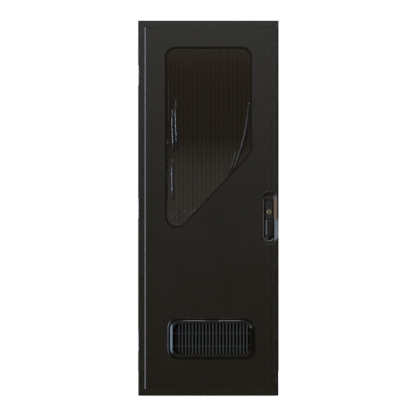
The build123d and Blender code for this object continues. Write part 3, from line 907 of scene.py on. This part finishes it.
@dataclass
class Window:
    """Slant bottomed window: insect screen behind the pane and protective film on its face."""

    knee_drop_mm: float = 468.7
    toe_drop_mm: float = 883.2
    top_radius_mm: float = 47.0
    knee_radius_mm: float = 50.0
    toe_radius_mm: float = 53.0
    arc_steps: int = 14
    gasket_ease_mm: float = 1.2
    trim_ease_mm: float = 0.8
    screen_inset_mm: float = 3.4
    # Woven at about 1.6 mm in truth, drawn coarser so that the threads can still be told apart
    thread_pitch_mm: tuple[float, float] = (19.8, 9.0)
    thread_mm: float = 1.4
    thread_thick_mm: float = 0.5
    # Shares of a cell past which it counts as whole, and past which a cut one still gets a hole
    whole_share: float = 0.98
    part_share: float = 0.4
    film_inset_mm: float = 7.0
    film_cell_mm: tuple[float, float] = (14.0, 7.0)
    crease_cell_mm: float = 1.0
    film_thick_mm: float = 0.06
    film_lift_mm: float = 0.15
    trim_screw_mm: float = 2.6
    trim_screw_inset_mm: float = 7.0
    trim_screw_pitch_mm: float = 150.0

    def build(self) -> None:
        """Builds the window's pieces."""
        EasedNode("window_gasket", self.gasket_ease_mm, segments=3, finish=DUSTY_RUBBER).build()
        EasedNode("window_inner_trim", self.trim_ease_mm).build()
        self.trim_screws()
        self.screen()
        self.film()

    def trim_screws(self) -> bpy.types.Object:
        """Sets the screws that hold the inner trim, evenly along each of its sides.

        Returns:
            The new object.
        """
        low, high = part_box("window_inner_trim")
        corners = self.corners(low.x + self.trim_screw_inset_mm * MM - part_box("window_gasket")[0].x)
        places = []
        for i, corner in enumerate(corners):
            last = corners[i - 1]
            begin = last.centre + Matrix.Rotation(last.turn, 3, "Y") @ (last.start - last.centre)
            run = corner.start - begin
            spans = round(run.length / (self.trim_screw_pitch_mm * MM))
            places += [begin + run * step / spans + BACK * high.y for step in range(spans + 1)]
        return ScrewSet("window_trim_screws", "leaf", ScrewHead.PAN, self.trim_screw_mm, places, BACK).build()

    def corners(self, inset: float) -> list[Corner]:
        """Works out the four rounded corners.

        Args:
            inset: Distance from the edge of the opening, in metres.

        Returns:
            Corners in clockwise order from the upper left one.
        """
        low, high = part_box("window_gasket")
        run = high.x - low.x
        fall = (self.toe_drop_mm - self.knee_drop_mm) * MM
        lift = inset * math.hypot(run, fall) / run
        left, right, top = low.x + inset, high.x - inset, high.z - inset
        knee = high.z - self.knee_drop_mm * MM + lift - inset * fall / run
        toe = high.z - self.toe_drop_mm * MM + lift + inset * fall / run
        points = [Vector((x, 0, z)) for x, z in ((left, top), (right, top), (right, knee), (left, toe))]
        radii = [self.top_radius_mm, self.top_radius_mm, self.knee_radius_mm, self.toe_radius_mm]
        found = []
        for i, (point, radius) in enumerate(zip(points, radii)):
            into = (point - points[i - 1]).normalized()
            out = (points[(i + 1) % len(points)] - point).normalized()
            turn = into.angle(out)
            size = radius * MM - inset
            start = point - into * size * math.tan(turn / 2)
            found.append(Corner(start, start + Vector((into.z, 0, -into.x)) * size, turn))
        return found

    def face(self, bm: bmesh.types.BMesh, inset_mm: float, y: float) -> list[tuple[float, float]]:
        """Draws the window's outline as one face.

        Args:
            bm: Mesh that takes the face.
            inset_mm: Distance from the edge of the opening.
            y: Depth of the face.

        Returns:
            Lowest and highest coordinate across and up.
        """
        ends = []
        for corner in self.corners(inset_mm * MM):
            start = bm.verts.new(corner.start)
            arc = bmesh.ops.spin(bm, geom=[start], cent=corner.centre, axis=BACK, angle=corner.turn,
                                 steps=self.arc_steps)
            ends.append((start, only(bmesh.types.BMVert, arc["geom_last"])[0]))
        for i, (start, _) in enumerate(ends):
            bm.edges.new((ends[i - 1][1], start))
        bmesh.ops.contextual_create(bm, geom=bm.edges[:])
        bmesh.ops.translate(bm, vec=BACK * y, verts=bm.verts)
        spans = [[v.co[axis] for v in bm.verts] for axis in (0, 2)]
        return [(min(places), max(places)) for places in spans]

    def checker(self, bm: bmesh.types.BMesh, columns: list[float], rows: list[float]) -> None:
        """Cuts the outline into cells.

        Args:
            bm: Mesh with the outline.
            columns: Places across where it is cut from top to bottom.
            rows: Heights where it is cut from side to side.
        """
        for places, normal in ((columns, RIGHT), (rows, UP)):
            for place in places:
                bmesh.ops.bisect_plane(bm, geom=bm.verts[:] + bm.edges[:] + bm.faces[:],
                                       plane_co=normal * place, plane_no=normal, dist=CUT_WELD)

    def steps(self, span: tuple[float, float], size: float) -> list[float]:
        """Lists the cuts of even steps along a span, without its two ends."""
        return [span[0] + size * i for i in range(1, math.ceil((span[1] - span[0]) / size))]

    def film_cuts(self, span: tuple[float, float], axis: int) -> list[float]:
        """Lists the film's cuts in one direction, close together where creases run.

        Args:
            span: Ends of the film.
            axis: 0 for the cuts across the door, 1 for those up the door.

        Returns:
            Places of the cuts.
        """
        every = round(self.film_cell_mm[axis] / self.crease_cell_mm)
        return [place for i, place in enumerate(self.steps(span, self.crease_cell_mm * MM))
                if i % every == 0 or any(crease.reaches(place, axis) for crease in CREASES)]

    def screen(self) -> bpy.types.Object:
        """Builds the insect screen as a flat net of threads.

        Returns:
            The new object.
        """
        low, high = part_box("window_screen")
        bm = bmesh.new()
        wide, tall = self.face(bm, self.screen_inset_mm, (low.y + high.y - self.thread_thick_mm * MM) / 2)
        across, down = (pitch * MM for pitch in self.thread_pitch_mm)
        self.checker(bm, self.steps(wide, across), self.steps(tall, down))
        cell = across * down
        whole = [f for f in bm.faces if len(f.verts) == 4 and f.calc_area() > self.whole_share * cell]
        part = [f for f in set(bm.faces) - set(whole) if f.calc_area() > self.part_share * cell]
        half = self.thread_mm * MM / 2
        for faces, even in ((whole, True), (part, False)):
            bmesh.ops.inset_individual(bm, faces=faces, thickness=half, use_even_offset=even)
        bmesh.ops.delete(bm, geom=whole + part, context="FACES_ONLY")
        raised = bmesh.ops.extrude_face_region(bm, geom=bm.faces[:])["geom"]
        bmesh.ops.translate(bm, vec=BACK * self.thread_thick_mm * MM, verts=only(bmesh.types.BMVert, raised))
        bmesh.ops.recalc_face_normals(bm, faces=bm.faces)
        return make_piece(bm, "window_screen.net", "leaf", Slot.SCREEN, replaces=("window_screen",))

    def film(self) -> bpy.types.Object:
        """Builds the protective film that lies on the pane with creases at its edges.

        Returns:
            The new object.
        """
        bm = bmesh.new()
        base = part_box("window_pane")[0].y - self.film_lift_mm * MM
        wide, tall = self.face(bm, self.film_inset_mm, base)
        flat = sum(f.calc_area() for f in bm.faces)
        lift = bm.verts.layers.float.new(LIFT_LAYER)
        self.checker(bm, self.film_cuts(wide, 0), self.film_cuts(tall, 1))
        for vert in bm.verts:
            vert[lift] = sum(crease.height_at(vert.co.x, vert.co.z) for crease in CREASES)
            vert.co.y -= vert[lift]
        bmesh.ops.recalc_face_normals(bm, faces=bm.faces)
        bmesh.ops.solidify(bm, geom=bm.faces[:], thickness=self.film_thick_mm * MM)
        piece = make_piece(bm, "window_film", "leaf", Slot.PANE, FILM)
        return piece


@dataclass
class Leaf:
    """Hinged leaf: mitred border, outer panel and lining."""

    border_ease_mm: float = 0.6
    panel_ease_mm: float = 0.5

    def build(self) -> None:
        """Breaks the edges of the border and the skins."""
        for node in ("hinge_stile", "lock_stile_upper", "lock_stile_middle", "lock_stile_lower", "top_rail",
                     "bottom_rail"):
            EasedNode(node, self.border_ease_mm).build()
        for node in ("outer_panel", "inner_panel"):
            EasedNode(node, self.panel_ease_mm).build()


@dataclass
class FixedFrame:
    """Frame on the wall with its seal, its keeper plate and the screws in its jambs."""

    ease_mm: float = 0.5
    seal_ease_mm: float = 1.2
    keeper_ease_mm: float = 0.25
    screw_radius_mm: float = 3.6

    def build(self) -> None:
        """Breaks the edges and sets the screws."""
        for node in ("frame_head", "frame_sill", "frame_hinge_jamb", "frame_lock_jamb"):
            EasedNode(node, self.ease_mm).build()
        EasedNode("door_seal", self.seal_ease_mm, segments=3).build()
        EasedNode("keeper_plate", self.keeper_ease_mm).build()
        self.jamb_screws("hinge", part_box("frame_hinge_jamb")[1].x, RIGHT)
        self.jamb_screws("lock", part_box("frame_lock_jamb")[0].x, -RIGHT)

    def jamb_screws(self, side: str, x: float, out: Vector) -> None:
        """Sets a pair of screws at each mount of a jamb.

        Args:
            side: Side of the door that the jamb stands on.
            x: Place of the jamb's inner face.
            out: Direction that the face looks.
        """
        places = []
        for mount in frame["record"]["mounts"]:
            if mount["name"].startswith(f"{side}_jamb"):
                _, y, z = mount["pos_m"]
                half = mount["dims"]["spacing_y_mm"] * MM / 2
                places += [Vector((x, y, z - half)), Vector((x, y, z + half))]
        ScrewSet(f"{side}_jamb_screws", "frame", ScrewHead.PAN, self.screw_radius_mm, places, out).build()


@dataclass
class Hinges:
    """Three knuckle hinges."""

    ease_mm: float = 0.35

    def build(self) -> None:
        """Breaks the edges of both halves of each hinge."""
        for name in ("upper", "middle", "lower"):
            for half in ("frame", "leaf"):
                EasedNode(f"hinge_{half}_{name}", self.ease_mm).build()


@dataclass
class Vent:
    """Low vent: moulded surround, slats, fronts of the cross bars and the cover on the room side."""

    surround_ease_mm: float = 0.15
    crest: Band = Band(depth_mm=-35.0, width_mm=0.5, segments=3)
    slat_ease_mm: float = 0.4
    cover_ease_mm: float = 1.0
    # Heights of the cross bars off the surround's middle, as shares of its height
    cross_shares: tuple[float, float] = (-0.174, 0.131)
    cross_mm: float = 3.8
    cross_draft_deg: float = 8.0
    cross_front_mm: float = 2.4

    def build(self) -> None:
        """Rounds the mouldings."""
        EasedNode("vent_surround", self.surround_ease_mm, bands=(self.crest,)).build()
        EasedNode("vent_grille", self.slat_ease_mm, finish=SOFT_ABS).build()
        self.cross_faces()
        EasedNode("vent_inner_cover", self.cover_ease_mm, segments=3, finish=SHADED_ABS).build()

    def cross_faces(self) -> bpy.types.Object:
        """Builds the fronts of the cross bars, which lean back a little so that they leave the mould.

        Returns:
            The new object.
        """
        low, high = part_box("vent_grille")
        outer_low, outer_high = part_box("vent_surround")
        height = self.cross_mm * MM
        front = low.y + self.cross_front_mm * MM
        lean = height * math.tan(math.radians(self.cross_draft_deg))
        bm = bmesh.new()
        for share in self.cross_shares:
            middle = (outer_low.z + outer_high.z) / 2 + share * (outer_high.z - outer_low.z)
            made = bmesh.ops.create_cube(bm, size=1.0)["verts"]
            bmesh.ops.scale(bm, vec=(high.x - low.x, high.y - front, height), verts=made)
            spot = Vector(((low.x + high.x) / 2, (high.y + front) / 2, middle))
            bmesh.ops.translate(bm, vec=spot, verts=made)
            top = [v for v in made if v.co.z > middle and v.co.y < spot.y]
            bmesh.ops.translate(bm, vec=BACK * lean, verts=top)
        edges = [e for e in bm.edges if abs(e.verts[0].co.x - e.verts[1].co.x) > height]
        round_edges(bm, edges, self.slat_ease_mm, segments=3)
        return make_piece(bm, "vent_cross_faces", "leaf", Slot.VENT)


@dataclass
class Lock:
    """Recessed lock: dish, boss, key, pull paddle, latch and plates."""

    mould_ease_mm: float = 0.9
    boss_ease_mm: float = 0.8
    paddle_ease_mm: float = 2.2
    cylinder_ease_mm: float = 1.1
    plug_ease_mm: float = 0.3
    plate_ease_mm: float = 0.25
    throat: Band = Band(depth_mm=-16.0, width_mm=2.4, segments=4, slack_mm=0.2)
    lip: Band = Band(depth_mm=-26.0, width_mm=0.58, segments=3)
    arch: Band = Band(depth_mm=-19.5, width_mm=4.5, segments=6, above_mm=826.0)
    # Inner radius, outer radius and rise of the dark ring round the key, which stands in for the shadow round
    # it, and its foot in the boss
    ring_mm: tuple[float, float, float] = (10.1, 13.0, 0.9)
    ring_foot_mm: float = 0.2
    ring_ease_mm: float = 0.4
    ring_fold_deg: float = 60.0
    ring_steps: int = 48
    # Distances of the dish's mouth from its left, its right and both ends
    mouth_inset_mm: tuple[float, float, float] = (3.1, 14.8, 15.0)
    mouth_depth_mm: float = 10.0
    bead_mm: float = 0.9
    bead_steps: int = 10
    bead_turn_steps: int = 30
    bead_turn_deg: float = 150.0
    latch_screw_mm: float = 2.6
    latch_screw_inset_mm: float = 7.0

    def build(self) -> None:
        """Rounds the mouldings, builds the dark ring that stands in for the shadow round the key and the lip
        painted pale as a highlight, and sets the latch screws.
        """
        EasedNode("lock_dish", self.mould_ease_mm, segments=3, bands=(self.throat, self.lip),
                  finish=FLOOR_LIT_NYLON).build()
        EasedNode("lock_boss", self.boss_ease_mm, segments=3, bands=(self.arch,),
                  finish=GRAINED_NYLON).build()
        EasedNode("pull_paddle", self.paddle_ease_mm, segments=5, finish=POLISHED_NYLON).build()
        self.key_shade_ring()
        self.dish_bead()
        EasedNode("key_cylinder", self.cylinder_ease_mm, segments=3).build()
        EasedNode("key_plug", self.plug_ease_mm, finish=SHADED_BRASS).build()
        for node in ("finger_plate", "latch_plate", "latch_bolt"):
            EasedNode(node, self.plate_ease_mm).build()
        low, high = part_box("latch_plate")
        inset = self.latch_screw_inset_mm * MM
        middle = (low.y + high.y) / 2
        places = [Vector((high.x, middle, z)) for z in (low.z + inset, high.z - inset)]
        ScrewSet("latch_screws", "leaf", ScrewHead.FLUSH, self.latch_screw_mm, places, RIGHT).build()

    def dish_bead(self) -> bpy.types.Object:
        """Builds the lip of the dish's mouth, down its left side and round its foot, painted pale as a
        highlight.

        Returns:
            The new object.
        """
        low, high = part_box("lock_dish")
        left, right, ends = (inset * MM for inset in self.mouth_inset_mm)
        radius = (high.x - right - low.x - left) / 2
        foot = Vector((low.x + left + radius, low.y + self.mouth_depth_mm * MM, low.z + ends + radius))
        head = high.z - ends - radius
        bm = bmesh.new()
        ring = bmesh.ops.create_circle(bm, segments=self.bead_steps, radius=self.bead_mm * MM)["verts"]
        bmesh.ops.translate(bm, vec=(foot.x - radius, foot.y, head), verts=ring)
        made = bmesh.ops.extrude_edge_only(bm, edges=bm.edges[:])["geom"]
        ring = only(bmesh.types.BMVert, made)
        bmesh.ops.translate(bm, vec=UP * (foot.z - head), verts=ring)
        bmesh.ops.spin(bm, geom=ring + only(bmesh.types.BMEdge, made), cent=foot, axis=BACK,
                       steps=self.bead_turn_steps, angle=-math.radians(self.bead_turn_deg))
        bmesh.ops.remove_doubles(bm, verts=bm.verts, dist=self.bead_mm * MM / self.bead_steps)
        bmesh.ops.holes_fill(bm, edges=[e for e in bm.edges if e.is_boundary], sides=0)
        bmesh.ops.recalc_face_normals(bm, faces=bm.faces)
        return make_piece(bm, "lock_dish_bead", "leaf", Slot.LOCK, HIGHLIGHT_NYLON)

    def key_shade_ring(self) -> bpy.types.Object:
        """Builds the dark ring round the key, a turned washer with soft edges that stands in for the shadow
        round it.

        Returns:
            The new object.
        """
        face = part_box("lock_boss")[0].y
        inner, outer, rise = (size * MM for size in self.ring_mm)
        foot = self.ring_foot_mm * MM
        bm = bmesh.new()
        corners = [(inner, foot), (inner, -rise), (outer, -rise), (outer, foot)]
        verts = [bm.verts.new((KEY_CENTRE.x + out, face + y, KEY_CENTRE.z)) for out, y in corners]
        edges = [bm.edges.new(pair) for pair in zip(verts, verts[1:] + verts[:1])]
        bmesh.ops.spin(bm, geom=verts + edges, cent=(KEY_CENTRE.x, 0, KEY_CENTRE.z), axis=BACK,
                       angle=math.tau, steps=self.ring_steps, use_merge=True)
        bmesh.ops.recalc_face_normals(bm, faces=bm.faces)
        fold = math.radians(self.ring_fold_deg)
        rims = [e for e in bm.edges if e.is_manifold and e.calc_face_angle() > fold]
        round_edges(bm, rims, self.ring_ease_mm, segments=3)
        return make_piece(bm, "key_shade_ring", "leaf", Slot.LOCK, FINISHES[Slot.RUBBER])


@dataclass
class InsideFurniture:
    """Backing plate and lever on the room side."""

    plate_ease_mm: float = 1.5
    lever_ease_mm: float = 2.0
    screw_radius_mm: float = 3.4
    screw_inset_mm: float = 14.0

    def build(self) -> None:
        """Rounds the plate and the lever and sets the plate's screws."""
        EasedNode("inside_plate", self.plate_ease_mm, segments=3).build()
        EasedNode("inside_handle", self.lever_ease_mm, segments=4).build()
        low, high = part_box("inside_plate")
        x = (low.x + high.x) / 2
        inset = self.screw_inset_mm * MM
        places = [Vector((x, high.y, z)) for z in (low.z + inset, high.z - inset)]
        ScrewSet("inside_plate_screws", "leaf", ScrewHead.PAN, self.screw_radius_mm, places, BACK).build()


@dataclass(frozen=True)
class Softbox:
    """Soft studio light that stands round the door and faces it.

    Attributes:
        name: Name of the light.
        azimuth: Degrees to the left from straight in front.
        elevation: Degrees up from the point that it faces.
        distance: Metres from that point.
        size: Width and height, in metres.
        radiance: Brightness of its face, in watts per square metre and steradian.
        aim: Point that it faces.
    """

    name: str
    azimuth: float
    elevation: float
    distance: float
    size: tuple[float, float]
    radiance: float
    aim: tuple[float, float, float] = (0.0, 0.0, 0.83)

    def build(self) -> bpy.types.Object:
        """Makes the light.

        Returns:
            The new object.
        """
        lamp = bpy.data.lights.new(self.name, "AREA")
        lamp.shape = "RECTANGLE"
        lamp.size, lamp.size_y = self.size
        lamp.energy = self.radiance * math.pi * lamp.size * lamp.size_y
        way = Matrix.Rotation(math.radians(-self.azimuth), 3, "Z")
        way @= Matrix.Rotation(math.radians(-self.elevation), 3, "X")
        light = put_in_scene(self.name, lamp)
        light.location = Vector(self.aim) + way @ (-BACK * self.distance)
        light.rotation_euler = (way @ Matrix.Rotation(math.radians(90), 3, "X")).to_euler()
        return light


@dataclass(frozen=True)
class Glow:
    """Upright patch of soft light in the surround, far away, that fades out at its edges.

    Attributes:
        azimuth: Degrees to the left from straight in front.
        half_width: Sine of half of its width, full and faded out.
        reach: Cosine of its elevation where it has faded out and where it is full.
        strength: Brightness.
        colour: Colour of the light.
    """

    azimuth: float
    half_width: tuple[float, float]
    reach: tuple[float, float]
    strength: float
    colour: str

    def add_to(self, graph: Graph, way: Socket, base: Socket) -> Socket:
        """Adds the glow to a colour of the surround.

        Args:
            graph: Nodes of the surround.
            way: Direction of the ray.
            base: Colour without this glow.

        Returns:
            Socket with the new colour.
        """
        angle = math.radians(self.azimuth)
        axes = ((-math.sin(angle), -math.cos(angle), 0), (-math.cos(angle), math.sin(angle), 0))
        ahead, aside = (add(graph.tree, "VectorMath", {"operation": "DOT_PRODUCT", 1: axis},
                            {0: way}).outputs["Value"] for axis in axes)
        off = add(graph.tree, "Math", {"operation": "ABSOLUTE"}, {0: aside}).outputs[0]
        narrow = graph.ranged(off, self.half_width[::-1], smooth=True)
        level = graph.ranged(ahead, self.reach, high=self.strength, smooth=True)
        return graph.blend(graph.product(narrow, level), base, self.colour, adds=True)


@dataclass
class Studio:
    """White studio: pale floor, soft lights and the camera."""

    view_width: float = 1.840
    distance: float = 8.0
    camera_x: float = -0.0015
    camera_z: float = 0.831
    flange_y: float = -0.003
    sensor_mm: float = 36.0
    floor_size: tuple[float, float] = (3.0, 2.4)
    floor_drop: float = 0.001
    floor_colour: str = "#F6F6F4"
    floor_roughness: float = 0.9
    floor_glow: float = 0.8
    white_strength: float = 1.05
    sky_strength: float = 1.66
    # Elevations with the light that comes from them
    sky: tuple[tuple[float, str], ...] = (
        (-90.0, "#746A5E"), (-35.0, "#5E544A"), (-7.0, "#382F26"), (4.6, "#3A332A"), (8.2, "#E2E7EC"),
        (16.0, "#F0F6FC"), (30.0, "#8F9195"), (60.0, "#5A5B5C"), (90.0, "#3E3E3E"),
    )
    # Elevations with what shows through the pane
    backdrop: tuple[tuple[float, str], ...] = (
        (-90.0, "#D6DAE0"), (1.1, "#D6DAE0"), (2.2, "#94908A"), (4.0, "#9C988E"), (6.0, "#C0B8A8"),
        (90.0, "#C0B8A8"),
    )
    glows: tuple[Glow, ...] = (
        Glow(61.0, (0.06, 0.13), (0.92, 0.985), 5.0, "#CCE4FF"),
        Glow(50.0, (0.10, 0.30), (0.8, 0.96), 0.62, "#BED2DA"),
        Glow(72.0, (0.05, 0.08), (0.99, 0.997), 4.2, "#FFB060"),
        Glow(87.0, (0.12, 0.20), (0.72, 0.92), 4.0, "#B8D4F4"),
    )
    lights: tuple[Softbox, ...] = (
        Softbox("rear_left", 220.0, 30.0, 3.4, (1.4, 1.4), 13.0),
        Softbox("rear_right", 140.0, 20.0, 3.4, (1.4, 1.4), 9.0),
        Softbox("overhead_0", 0.0, 83.9, 2.6, (0.128, 0.12), 11.5, (-0.082, -0.03, 0.33)),
        Softbox("overhead_1", 0.0, 83.9, 2.6, (0.130, 0.12), 11.5, (0.125, -0.03, 0.33)),
    )

    def build(self) -> None:
        """Sets up the studio."""
        bpy.context.scene.view_settings.view_transform = "Standard"
        self.camera()
        self.floor()
        self.surroundings()
        for light in self.lights:
            light.build()

    def camera(self) -> None:
        """Sets the camera straight in front of the door."""
        data = bpy.data.cameras.new("camera")
        data.sensor_width = self.sensor_mm
        data.lens = self.sensor_mm * (self.distance + self.flange_y) / self.view_width
        camera = put_in_scene("camera", data)
        camera.location = (self.camera_x, -self.distance, self.camera_z)
        camera.rotation_euler = (math.radians(90), 0, 0)
        bpy.context.scene.camera = camera

    def floor(self) -> None:
        """Lays the pale floor just under the sill."""
        bm = bmesh.new()
        bmesh.ops.create_grid(bm, x_segments=2, y_segments=2, size=0.5)
        bmesh.ops.scale(bm, vec=(*self.floor_size, 1.0), verts=bm.verts)
        bmesh.ops.translate(bm, vec=-UP * self.floor_drop, verts=bm.verts)
        mesh = bpy.data.meshes.new("floor")
        bm.to_mesh(mesh)
        bm.free()
        made = bpy.data.materials.new("pale_floor")
        made.use_nodes = True
        looks = {"Base Color": linear(self.floor_colour), "Roughness": self.floor_roughness,
                 "Emission Color": linear("#FFFFFF"), "Emission Strength": self.floor_glow}
        for key, value in looks.items():
            made.node_tree.nodes["Principled BSDF"].inputs[key].default_value = value
        mesh.materials.append(made)
        floor = put_in_scene("floor", mesh)
        floor.visible_diffuse = False
        floor.visible_glossy = False

    def surroundings(self) -> None:
        """Makes a white surround, with soft light that falls off from above to a warm dim below."""
        world = bpy.data.worlds.new("studio")
        bpy.context.scene.world = world
        world.use_nodes = True
        tree = world.node_tree
        tree.nodes.clear()
        graph = Graph(tree)
        way = add(tree, "TexCoord").outputs["Generated"]
        _, depth, rise = add(tree, "SeparateXYZ", links={0: way}).outputs
        level = graph.ranged(rise, (-1.0, 1.0))
        colour = self.ramp(tree, level, self.sky)
        for glow in self.glows:
            colour = glow.add_to(graph, way, colour)
        soft = add(tree, "Background", {"Strength": self.sky_strength}, {"Color": colour})
        behind = add(tree, "Background", links={"Color": self.ramp(tree, level, self.backdrop)})
        white = add(tree, "Background", {"Color": linear("#FFFFFF"), "Strength": self.white_strength})
        ray = add(tree, "LightPath").outputs
        rear = add(tree, "Math", {"operation": "GREATER_THAN", 1: 0.0}, {0: depth}).outputs[0]
        shown = soft.outputs[0]
        for share, other in ((graph.product(rear, ray["Is Transmission Ray"]), behind),
                             (ray["Is Camera Ray"], white)):
            shown = add(tree, "MixShader", links={0: share, 1: shown, 2: other.outputs[0]}).outputs[0]
        add(tree, "OutputWorld", links={0: shown})

    def ramp(self, tree: bpy.types.NodeTree, level: Socket, stops: tuple[tuple[float, str], ...]) -> Socket:
        """Adds a colour ramp over the elevation.

        Args:
            tree: Node tree of the surround.
            level: Height of the direction, from zero to one.
            stops: Elevations in degrees with their colours, from straight down to straight up.

        Returns:
            Socket with the colour.
        """
        ramp = add(tree, "ValToRGB", links={"Fac": level})
        first, last = ramp.color_ramp.elements
        first.color = linear(stops[0][1])
        last.color = linear(stops[-1][1])
        for elevation, code in stops[1:-1]:
            ramp.color_ramp.elements.new((math.sin(math.radians(elevation)) + 1) / 2).color = linear(code)
        return ramp.outputs[0]


def dress_nodes() -> None:
    """Gives every CAD node its slot's finish."""
    for part in frame["record"]["subparts"]:
        node = frame["nodes"][part["node"]]
        node.data.materials.clear()
        finish = BLACK_STEEL if part["node"] == "paddle_pin" else FINISHES[Slot(part["material_slot"])]
        node.data.materials.append(dressed(finish))


def main() -> None:
    """Builds the door's looks in order."""
    logging.basicConfig(level=logging.INFO, format="%(message)s")
    dress_nodes()
    for assembly in (FixedFrame(), Hinges(), Leaf(), Window(), Vent(), Lock(), InsideFurniture(), Studio()):
        LOG.info("building %s", type(assembly).__name__)
        assembly.build()
    bpy.context.view_layer.update()


if __name__ == "__main__":
    main()
